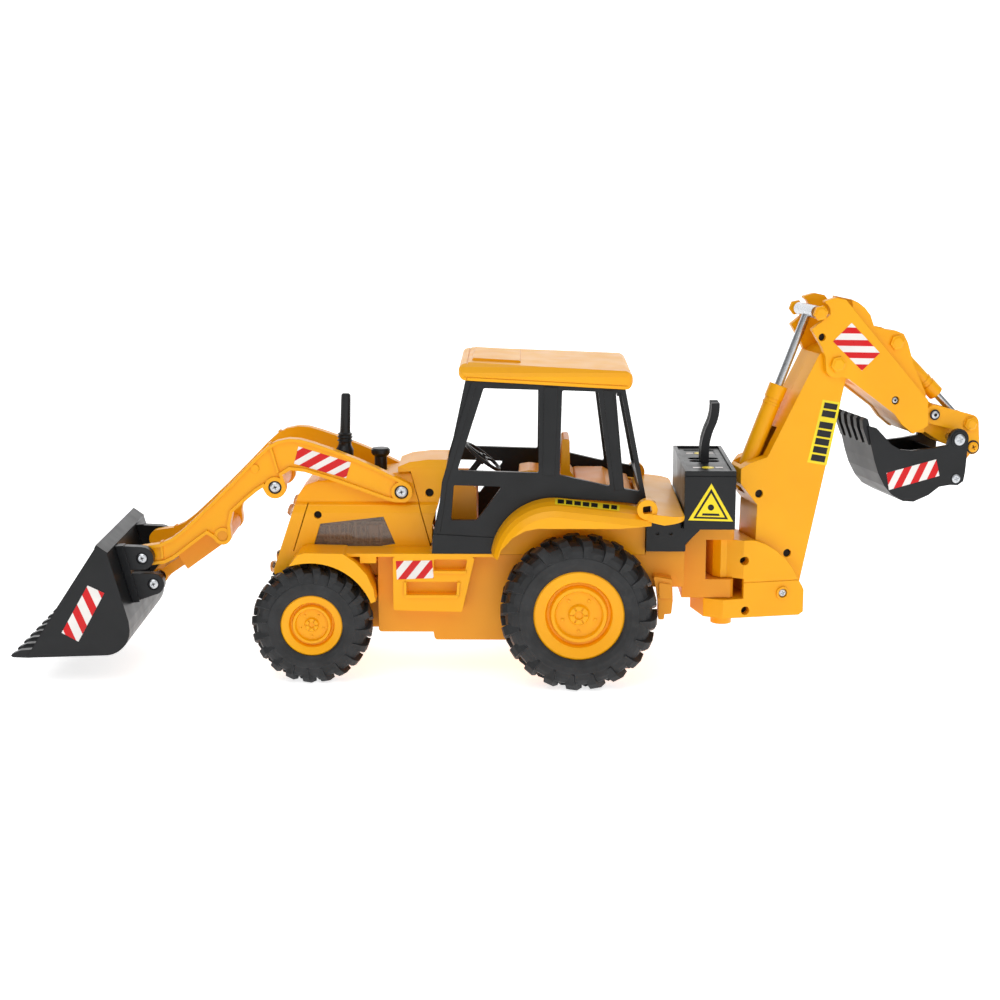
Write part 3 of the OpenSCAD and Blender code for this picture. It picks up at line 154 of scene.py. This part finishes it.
def tyre_material():
    """Black rubber with a little dust on its edges."""
    m = Mat("tyre_rubber")
    base = m.mix(m.span(m.noise(60.0, 4.0), 0.35, 0.65), srgb(27, 29, 32), srgb(18, 20, 22))
    dusty = m.mix(m.span(m.noise(300.0, 4.0), 0.55, 0.8, 0.0, 0.35), base, srgb(56, 56, 55))
    m.link(m.mix(m.edges(0.6 * MM), dusty, srgb(60, 62, 64)), m.bsdf.inputs["Base Color"])
    m.link(m.span(m.noise(120.0), 0.3, 0.7, 0.44, 0.62), m.bsdf.inputs["Roughness"])
    m.normal(m.noise(900.0, 4.0), 0.4, 0.08 * MM, 0.7 * MM)
    m.set(IOR=1.5)
    return m.mat


def metal(name, colour, rough):
    """Plain turned steel."""
    m = Mat(name)
    line = m.noise(700.0, 3.0, (1.0, 1.0, 1.0))
    m.link(m.mix(m.span(line, 0.35, 0.65), colour, tuple(c * 0.93 for c in colour[:3]) + (1.0,)),
           m.bsdf.inputs["Base Color"])
    m.link(m.span(line, 0.3, 0.7, rough - 0.03, rough + 0.04), m.bsdf.inputs["Roughness"])
    m.normal(line, 0.05, 0.01 * MM, 0.2 * MM)
    m.set(Metallic=1.0)
    return m.mat


def clear_plastic(name, tint, rough):
    """Tinted window and lamp plastic."""
    m = Mat(name)
    m.link(m.mix(m.span(m.noise(40.0), 0.4, 0.6), tint, tuple(c * 0.93 for c in tint[:3]) + (1.0,)),
           m.bsdf.inputs["Base Color"])
    m.set(Roughness=rough, IOR=1.46, Transmission_Weight=0.92)
    m.normal(m.noise(220.0), 0.06, 0.05 * MM)
    return m.mat


def smoke_relief():
    """The dark relief behind the engine windows, with painted highlights: lighter streaks both ways and lighter
    edges.
    """
    m = Mat("smoke_relief")
    base = m.mix(m.span(m.noise(90.0, 5.0), 0.35, 0.65), srgb(104, 78, 62), srgb(66, 50, 42))
    # Painted highlight: narrow bands of lighter colour, across and upright, for light catching the relief
    highlight_streaks = m.span(m.noise(260.0, 2.0, (0.12, 1.0, 1.6)), 0.53, 0.58, 0.0, 0.75)
    highlight_posts = m.span(m.noise(210.0, 2.0, (1.5, 1.0, 0.16)), 0.57, 0.61, 0.0, 0.6)
    painted_highlights = m.mix(highlight_posts, m.mix(highlight_streaks, base, srgb(150, 122, 102)), srgb(164, 138, 118))
    # Painted highlight on the relief's edges
    m.link(m.mix(m.edges(0.7 * MM), painted_highlights, srgb(188, 164, 144)), m.bsdf.inputs["Base Color"])
    m.set(Roughness=0.42)
    m.normal(m.noise(400.0, 4.0), 0.3, 0.1 * MM, 0.3 * MM)
    return m.mat


def vinyl(name, colour):
    """Printed label stock."""
    m = Mat(name)
    rough = 0.32
    faded = tuple(c * 0.9 + 0.01 for c in colour[:3]) + (1.0,)
    m.link(m.mix(m.span(m.noise(55.0, 4.0), 0.4, 0.7), colour, faded), m.bsdf.inputs["Base Color"])
    m.link(m.span(m.noise(300.0), 0.3, 0.7, rough - 0.05, rough + 0.08), m.bsdf.inputs["Roughness"])
    m.normal(m.noise(140.0), 0.05, 0.05 * MM)
    m.set(Specular_IOR_Level=0.25, Coat_Weight=0.05, Coat_Roughness=0.1)
    return m.mat


YELLOW = plastic("yellow_plastic", srgb(252, 178, 6), srgb(249, 171, 3), 0.34, coat=0.04)
AMBER = plastic("amber_plastic", srgb(238, 158, 34), srgb(232, 150, 28), 0.38)
BLACK = plastic("black_plastic", srgb(18, 20, 23), srgb(14, 16, 18), 0.34, grain=0.35, edge_light=0.3,
                spec=0.34)
FINISH = {
    "yellow_plastic": YELLOW,
    "amber_plastic": AMBER,
    "black_plastic": BLACK,
    "cable_jacket": plastic("cable_jacket", srgb(34, 34, 37), srgb(26, 26, 28), 0.5, grain=0.5),
    "tyre_rubber": tyre_material(),
    "bright_steel": metal("bright_steel", srgb(198, 201, 205), 0.28),
    "white_nylon": plastic("white_nylon", srgb(236, 232, 218), srgb(228, 222, 206), 0.4),
    "smoke_relief": smoke_relief(),
    "clear_plastic": clear_plastic("clear_plastic", srgb(232, 214, 196), 0.09),
}
LABEL = {
    "red": vinyl("label_red", srgb(216, 14, 20)),
    "white": vinyl("label_white", srgb(244, 240, 236)),
    "yellow": vinyl("label_yellow", srgb(250, 226, 40)),
    "black": vinyl("label_black", srgb(24, 24, 26)),
}
SCREW_RING = metal("screw_washer", srgb(52, 53, 56), 0.42)
# Painted shade for the insides of holes and of screw recesses
PAINTED_HOLE_SHADE = plastic("painted_hole_shade", srgb(26, 20, 16), srgb(18, 14, 12), 0.7)

for name, obj in NODES.items():
    obj.data.materials.clear()
    obj.data.materials.append(FINISH[SLOT_OF[name]])
    for poly in obj.data.polygons:
        poly.use_smooth = True
    obj.data.set_sharp_from_angle(angle=math.radians(32))

# ---------------------------------------------------------------- building helpers

SWING = Vector(JOINTS["backhoe_swing"]["pos_m"])
ACROSS = Vector(JOINTS["dipper_swing"]["axis"])
ALONG = Vector((ACROSS.y, -ACROSS.x, 0.0))


def hoe(x, y, z):
    """A point in the backhoe's own frame, in mm: x forward from the swing pin, y across, z up."""
    flat = Vector((SWING.x, SWING.y, 0.0))
    return flat + ALONG * x * MM + ACROSS * y * MM + Vector((0.0, 0.0, z * MM))


def row(x, y, z):
    """A point in the row frame, given in mm."""
    return Vector((x, y, z)) * MM


def make(name, body, verts, faces, materials, face_mats=None, smooth=False):
    """A mesh that rides the body. face_mats picks each face's material."""
    mesh = bpy.data.meshes.new(name)
    mesh.from_pydata([tuple(v) for v in verts], [], faces)
    for mat in materials:
        mesh.materials.append(mat)
    for i, index in enumerate(face_mats or []):
        mesh.polygons[i].material_index = index
    mesh.validate()
    if smooth:
        for poly in mesh.polygons:
            poly.use_smooth = True
        mesh.set_sharp_from_angle(angle=math.radians(35))
    obj = bpy.data.objects.new(name, mesh)
    bpy.context.scene.collection.objects.link(obj)
    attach(obj, body)
    return obj


def clip(poly, keep):
    """Cuts a convex polygon of (u, v) points to where keep(point) >= 0."""
    out = []
    for i, p in enumerate(poly):
        q = poly[(i + 1) % len(poly)]
        a, b = keep(p), keep(q)
        if a >= 0:
            out.append(p)
        if (a >= 0) != (b >= 0):
            t = a / (a - b)
            out.append((p[0] + t * (q[0] - p[0]), p[1] + t * (q[1] - p[1])))
    return out


def label(name, body, corners, shapes):
    """A thin label: corners are its lower-left, lower-right, upper-right and upper-left points as seen from
    outside, and shapes are (colour, [(u, v), ...]) polygons drawn in that order over one another."""
    a, b, c, d = corners
    out = (b - a).cross(d - a).normalized()
    colours = list(LABEL)
    verts, faces, mats = [], [], []
    square = [(0, 0), (1, 0), (1, 1), (0, 1)]

    def spot(u, v, lift):
        low, high = a.lerp(b, u), d.lerp(c, u)
        return low.lerp(high, v) + out * lift

    base_lift = 0.14 * MM
    for layer, (colour, poly) in enumerate(shapes):
        poly = poly or square
        top = base_lift + 0.03 * MM * layer
        start = len(verts)
        verts += [spot(u, v, top) for u, v in poly] + [spot(u, v, 0.02 * MM) for u, v in poly]
        n = len(poly)
        faces.append(tuple(range(start, start + n)))
        for i in range(n):
            k = (i + 1) % n
            faces.append((start + i, start + n + i, start + n + k, start + k))
        mats += [colours.index(colour)] * (n + 1)
    return make(name, body, verts, faces, [LABEL[c] for c in colours], mats)


def stripes(pitch, lean, phase, width=0.5):
    """Slanted red bars on white. A bar starts at u = phase on the lower edge and moves lean along u by
    the top."""
    shapes = [("white", None)]
    start = phase - pitch * (2 + math.ceil(abs(lean) / pitch))
    while start < 1 + abs(lean):
        poly = [(0, 0), (1, 0), (1, 1), (0, 1)]
        for keep in (
            lambda p: p[0] - lean * p[1] - start,
            lambda p: start + width * pitch - p[0] + lean * p[1],
        ):
            poly = clip(poly, keep) if poly else poly
        if len(poly) >= 3:
            shapes.append(("red", poly))
        start += pitch
    return shapes


def blocks(colour, spans, low=0.14, high=0.86):
    """Plain upright blocks across a label, one for each (start, end) along u."""
    return [(colour, [(a, low), (b, low), (b, high), (a, high)]) for a, b in spans]


def disc(centre, radius, squeeze=1.0, steps=28):
    """A round patch; squeeze is the label's width over its height."""
    return [
        (centre[0] + radius * math.cos(2 * math.pi * k / steps),
         centre[1] + radius * squeeze * math.sin(2 * math.pi * k / steps))
        for k in range(steps)
    ]


def mirrored(corners):
    """The same label on the other side of the machine."""
    a, b, c, d = [Vector((p.x, -p.y, p.z)) for p in corners]
    return b, a, d, c


def turned(name, body, at, out, profile, materials, mats, steps=28, phase=0.0):
    """A turned piece on the plane through at, facing out. profile is (radius, height) in mm from the outer
    foot inwards, and mats picks the material of each band."""
    side = Vector((0, 0, 1)).cross(out).normalized()
    up = out.cross(side)
    verts, faces, face_mats = [], [], []
    for radius, height in profile:
        for k in range(steps):
            t = 2 * math.pi * k / steps + phase
            verts.append(at + (side * math.cos(t) * radius + up * math.sin(t) * radius + out * height) * MM)
    for j in range(len(profile) - 1):
        for k in range(steps):
            n = (k + 1) % steps
            faces.append((j * steps + k, j * steps + n, (j + 1) * steps + n, (j + 1) * steps + k))
            face_mats.append(mats[j])
    if profile[-1][0] < profile[0][0] * 0.9 and profile[-1][1] >= 0.1:
        faces.append(tuple(range((len(profile) - 1) * steps, len(profile) * steps)))
        face_mats.append(mats[-1])
    return make(name, body, verts, faces, materials, face_mats, True)


def washer(name, body, at, out, inner, outer):
    """A dark dished ring around a screw's head."""
    mid = (inner + outer) / 2
    profile = [(outer, 0.02), (outer, 0.34), (mid, 0.42), (inner + 0.04, 0.26), (inner + 0.04, 0.02)]
    return turned(name, body, at, out, profile, [SCREW_RING], [0, 0, 0, 0], steps=32)


def hole_shade_plug(name, body, at, out, r, steps=28, phase=0.0):
    """Painted shade: a dark dished plug at the bottom of a hole, standing in for the shade inside it."""
    profile = [(r, 0.05), (r, 0.6), (r * 0.8, 0.4), (r * 0.35, 0.25)]
    return turned(name, body, at, out, profile, [PAINTED_HOLE_SHADE], [0, 0, 0], steps=steps, phase=phase)


def screw(name, body, at, out, r):
    """A small pan-head screw on a dark washer, with painted shade in the dip at the middle of its head."""
    profile = [(r, 0.02), (r, 0.22), (r * 0.8, 0.34), (r * 0.74, 0.3), (r * 0.72, 0.7), (r * 0.55, 1.0),
               (r * 0.32, 1.08), (r * 0.26, 0.6)]
    return turned(name, body, at, out, profile, [SCREW_RING, FINISH["bright_steel"], PAINTED_HOLE_SHADE],
                  [0, 0, 0, 1, 1, 1, 2])


def drive(name, body, node, at, out, r):
    """A dark ring and cross pressed into the face of the named node's screw head, in painted shade for its drive
    recess.
    """
    face = surface(node).ray_cast(at + out * 30 * MM, -out)[0]
    ring = [(r * 0.7, 0.01), (r * 0.67, 0.09), (r * 0.5, 0.07), (r * 0.48, 0.01)]
    turned(name + "_ring", body, face, out, ring, [PAINTED_HOLE_SHADE], [0, 0, 0])
    side = Vector((0, 0, 1)).cross(out).normalized()
    up = out.cross(side)
    wide, long = r * 0.1, r * 0.36
    arm = [(long, -wide), (long, wide), (wide, wide)]
    plus = []
    for _ in range(4):
        plus += arm
        arm = [(-y, x) for x, y in arm]
    verts = [
        face + (side * x * shrink + up * y * shrink + out * height) * MM
        for height, shrink in ((0.01, 1.0), (0.08, 0.92))
        for x, y in plus
    ]
    n = len(plus)
    faces = [(i, (i + 1) % n, n + (i + 1) % n, n + i) for i in range(n)] + [tuple(range(n, 2 * n))]
    make(name + "_cross", body, verts, faces, [PAINTED_HOLE_SHADE])


# ---------------------------------------------------------------- labels

PLATE = [("yellow", None)] + blocks("black", [
    (0.04, 0.14), (0.17, 0.27), (0.30, 0.40), (0.43, 0.53), (0.56, 0.66), (0.74, 0.84), (0.87, 0.96)])


def side_label(name, body, points, y, shapes):
    """A label on a flank: points are its corners as (x, z) in mm, seen from the left. The right side's is
    its mirror."""
    corners = [row(x, y, z) for x, z in points]
    label(name + "_left", body, corners, shapes)
    label(name + "_right", body, mirrored(corners), shapes)


def hoe_label(name, body, points, y, shapes):
    """The same on both flanks of the backhoe, in its own frame, with x counted from the rear axle as it is
    when the backhoe isn't swung."""
    pin = SWING.x / MM
    for side, sign in (("left", 1), ("right", -1)):
        corners = [hoe(x - pin, sign * y, z) for x, z in points]
        if sign < 0:
            corners = [corners[1], corners[0], corners[3], corners[2]]
        label(f"{name}_{side}", body, corners, shapes)


def half_width(node):
    """How far the node reaches to the left, in mm."""
    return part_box(node)[1].y / MM


def surface(node):
    """A ray target for the named node, in world space."""
    obj = NODES[node]
    verts = [obj.matrix_world @ v.co for v in obj.data.vertices]
    return BVHTree.FromPolygons(verts, [tuple(p.vertices) for p in obj.data.polygons])


def draped(name, body, node, corners, shapes, steps=12):
    """A label of upright blocks that follows the surface straight below its corners."""
    a, b, c, d = corners
    tree = surface(node)
    colours = list(LABEL)
    verts, faces, mats = [], [], []
    for layer, (colour, poly) in enumerate(shapes):
        us = [p[0] for p in poly or [(0, 0), (1, 1)]]
        vs = [p[1] for p in poly or [(0, 0), (1, 1)]]
        count = max(2, round(steps * (max(us) - min(us))))
        lift = (0.14 + 0.05 * bool(layer)) * MM
        start = len(verts)
        for i in range(count + 1):
            u = min(us) + (max(us) - min(us)) * i / count
            for j in range(5):
                v = min(vs) + (max(vs) - min(vs)) * j / 4
                spot = a.lerp(b, u).lerp(d.lerp(c, u), v)
                hit = tree.ray_cast(Vector((spot.x, spot.y, 1.0)), Vector((0, 0, -1)))[0]
                verts.append(Vector((spot.x, spot.y, hit.z + lift)))
        for i in range(count):
            for j in range(4):
                k = start + i * 5 + j
                faces.append((k, k + 5, k + 6, k + 1))
                mats.append(colours.index(colour))
    return make(name, body, verts, faces, [LABEL[c] for c in colours], mats)


ARM_WEB = half_width("loader_arm_left") - 1.8
side_label("arm_stripes", "loader_arms",
           [(174.3, 133.4), (142.5, 124.4), (139.4, 134.2), (171.4, 144.1)],
           ARM_WEB, stripes(0.335, 0.32, 0.10, 0.55))
side_label("bucket_stripes", "loader_bucket_body",
           [(304.5, 28.4), (287.4, 59), (297.4, 63.7), (314.6, 34)],
           half_width("loader_bucket"), stripes(0.368, 0.27, 0.158, 0.47))
side_label("step_stripes", "machine", [(110.6, 65.4), (88.2, 66.4), (89, 77.4), (111.1, 77)], 45.0,
           stripes(0.475, 0.445, 0.025, 0.48))
TRIANGLE = [
    ("yellow", [(0, 0), (1, 0), (0.5, 1)]),
    ("black", [(0.11, 0.055), (0.89, 0.055), (0.5, 0.86)]),
    ("yellow", [(0.185, 0.105), (0.815, 0.105), (0.5, 0.74)]),
    ("black", disc((0.5, 0.36), 0.07, 1.17)),
    ("black", [(0.3, 0.14), (0.7, 0.14), (0.68, 0.2), (0.32, 0.2)]),
]
side_label("box_triangle", "machine", [(-66, 102.8), (-93.1, 102.1), (-93.1, 125.2), (-66, 125.8)],
           half_width("control_box"), TRIANGLE)
for side, sign in (("left", 1), ("right", -1)):
    near = [row(14.8, 58.3 * sign, 0), row(-23.7, 58.3 * sign, 0)]
    far = [row(-24.5, 47.5 * sign, 0), row(14.6, 47.5 * sign, 0)]
    edge = near + far if sign > 0 else [near[1], near[0], far[1], far[0]]
    draped("fender_plate_" + side, "machine", "rear_fender_shell", edge, PLATE)
hoe_label("boom_plate", "boom",
          [(-154.7, 127.9), (-162.7, 167.5), (-150.6, 169.8), (-141.5, 130.5)], 14.0, PLATE)
hoe_label("dipper_stripes", "dipper",
          [(-154.2, 206.2), (-174.3, 187.5), (-186, 198.2), (-166.2, 217.4)], 18.0,
          stripes(0.42, 0.635, -0.06, 0.48))
hoe_label("hoe_stripes", "hoe_bucket_body",
          [(-194.1, 111.8), (-228.6, 119.3), (-225.7, 130), (-191.9, 122.8)],
          22.0, stripes(0.33, 0.26, 0.087))

LID_PRINT = [
    ("white", [(0.02, 0.42), (0.26, 0.42), (0.26, 0.6), (0.02, 0.6)]),
    ("yellow", disc((0.5, 0.5), 0.2, 1.1)),
    ("white", [(0.74, 0.42), (0.98, 0.42), (0.98, 0.6), (0.74, 0.6)]),
]
for place, z, front, back, near, far in (
    ("near", 131.8, -69.5, -88.5, 35, 19),
    ("far", 131.4, -70, -87.8, -17, -33),
):
    label("lid_print_" + place, "machine",
          [row(front, near, z), row(back, near, z), row(back, far, z), row(front, far, z)],
          LID_PRINT)

# ---------------------------------------------------------------- screws and painted shade in holes

PIN_X = SWING.x / MM
# Places are on the left side and in mm. Those of the backhoe are in its own frame, not swung, with x counted
# from the rear axle.
HEADS = (  # name, body, node with the head, place, radius of the head and of its washer
    ("knee", "loader_arms", "arm_screws", (186.2, 25.8, 118.8), 3.1, 4.05),
    ("pivot", "machine", "loader_pivot_pin", (108.5, 25.4, 116), 3.4, 4.25),
    ("upper_ear", "loader_bucket_body", "ear_pins", (268.5, 32.4, 75.3), 2.9, 3.65),
    ("lower_ear", "loader_bucket_body", "ear_pins", (262, 32.4, 59), 2.9, 3.65),
)
HOLES = (  # name, body, place and radius
    ("hood_hole", "machine", (160.5, 21.2, 101), 2.3),
    ("cowl_hole", "machine", (91.6, 17.4, 114.3), 2.5),
)
HOE_SCREWS = (
    ("rocker_screw", "dipper", (-228, 13.22, 157), 3.4),
    ("dipper_screw", "dipper", (-198, 16.62, 168), 2.5),
)
HOE_HOLES = (
    ("dipper_hole", "dipper", (-147, 15.02, 209), 2.3),
    ("boom_upper_hole", "boom", (-110, 12.02, 112), 2.5),
    ("boom_lower_hole", "boom", (-130, 12.02, 73), 2.5),
    ("post_upper_hole", "swing_post_body", (-99.4, 13.02, 71), 2.6),
    ("post_lower_hole", "swing_post_body", (-100.4, 14.02, 39), 2.6),
)
LUG_HOLE = (-40, 58.4, 113)
LINK_EYE = (-256, 12.44, 135)
for side, sign in (("left", 1), ("right", -1)):
    out = Vector((0, sign, 0))
    across = ACROSS * sign

    def on_row(x, y, z):
        return row(x, y * sign, z)

    def on_hoe(x, y, z):
        return hoe(x - PIN_X, y * sign, z)

    for name, body, node, place, head_r, washer_r in HEADS:
        washer(f"{name}_washer_{side}", body, on_row(*place), out, head_r, washer_r)
        drive(f"{name}_drive_{side}", body, node, on_row(*place), out, head_r)
    for name, body, place, r in HOLES:
        hole_shade_plug(f"{name}_{side}", body, on_row(*place), out, r)
    # The tie lugs' holes are square, so their painted shade plug has four corners
    hole_shade_plug("lug_hole_" + side, "machine", on_row(*LUG_HOLE), out, 3.2, 4, math.radians(45))
    washer("link_washer_" + side, "link", on_hoe(*LINK_EYE), across, 2.2, 4.4)
    drive("link_drive_" + side, "link", "drag_link", on_hoe(*LINK_EYE), across, 3.2)
    for name, body, place, r in HOE_SCREWS:
        screw(f"{name}_{side}", body, on_hoe(*place), across, r)
    for name, body, place, r in HOE_HOLES:
        hole_shade_plug(f"{name}_{side}", body, on_hoe(*place), across, r)

# ---------------------------------------------------------------- stage, light and camera


def stage():
    """A white paper sweep: a flat floor that curves up into a wall behind the machine."""
    mat = Mat("floor_paper")
    mat.link(mat.mix(mat.span(mat.noise(3.0), 0.3, 0.7), (0.9, 0.9, 0.9, 1), (0.92, 0.92, 0.92, 1)),
             mat.bsdf.inputs["Base Color"])
    mat.set(Roughness=0.9, IOR=1.3, Emission_Color=(1, 1, 1, 1), Emission_Strength=0.72)
    mesh = bpy.data.meshes.new("floor")
    near, far, side, sweep, top = 3.0, -1.6, 4.0, 0.8, 4.0
    turns = [k * math.pi / 16 for k in range(9)]
    curve = [(far - sweep * math.sin(t), sweep * (1 - math.cos(t))) for t in turns]
    profile = [(near, 0.0), *curve, (far - sweep, top)]
    verts = [(x, y, z) for y, z in profile for x in (-side, side)]
    faces = [(2 * i, 2 * i + 1, 2 * i + 3, 2 * i + 2) for i in range(len(profile) - 1)]
    mesh.from_pydata(verts, [], faces)
    for poly in mesh.polygons:
        poly.use_smooth = True
    mesh.materials.append(mat.mat)
    floor = bpy.data.objects.new("floor", mesh)
    bpy.context.scene.collection.objects.link(floor)


def area(name, at, aim, size, power):
    """A soft white lamp at one point that faces another."""
    data = bpy.data.lights.new(name, "AREA")
    data.shape = "RECTANGLE"
    data.size, data.size_y = size
    data.energy = power
    lamp = bpy.data.objects.new(name, data)
    lamp.location = at
    lamp.rotation_euler = (Vector(aim) - Vector(at)).to_track_quat("-Z", "Y").to_euler()
    bpy.context.scene.collection.objects.link(lamp)


def studio():
    """White surroundings and four large lamps."""
    world = bpy.data.worlds.new("studio")
    world.use_nodes = True
    background = world.node_tree.nodes["Background"]
    background.inputs["Color"].default_value = (1, 1, 1, 1)
    background.inputs["Strength"].default_value = 0.24
    bpy.context.scene.world = world
    area("key", (0.5, 1.5, 1.7), (0, 0, 0.1), (1.6, 1.2), 12.2)
    area("fill", (-1.1, 1.3, 0.8), (0, 0, 0.1), (1.4, 1.2), 5.0)
    area("top", (0.0, -0.2, 2.0), (0, 0, 0), (2.2, 1.8), 8)
    area("low_front", (0.0, 2.4, 0.35), (0, 0, 0.1), (2.4, 0.6), 3.2)


def camera():
    """Looks at the machine's left side, slightly down."""
    pitch, yaw = math.radians(11.55), math.radians(0.72)
    place = Vector((0.034, 1.1395, 0.3387))
    right = Vector((-math.cos(yaw), -math.sin(yaw), 0.0))
    ahead = Vector((math.sin(yaw), -math.cos(yaw), 0.0))
    view = ahead * math.cos(pitch) - Vector((0, 0, math.sin(pitch)))
    up = ahead * math.sin(pitch) + Vector((0, 0, math.cos(pitch)))
    data = bpy.data.cameras.new("camera")
    data.sensor_width = 36.0
    data.lens = 66.6
    cam = bpy.data.objects.new("camera", data)
    cam.matrix_world = Matrix((
        (right.x, up.x, -view.x, place.x),
        (right.y, up.y, -view.y, place.y),
        (right.z, up.z, -view.z, place.z),
        (0, 0, 0, 1)))
    bpy.context.scene.collection.objects.link(cam)
    bpy.context.scene.camera = cam


stage()
studio()
camera()
bpy.context.scene.view_settings.view_transform = "Standard"
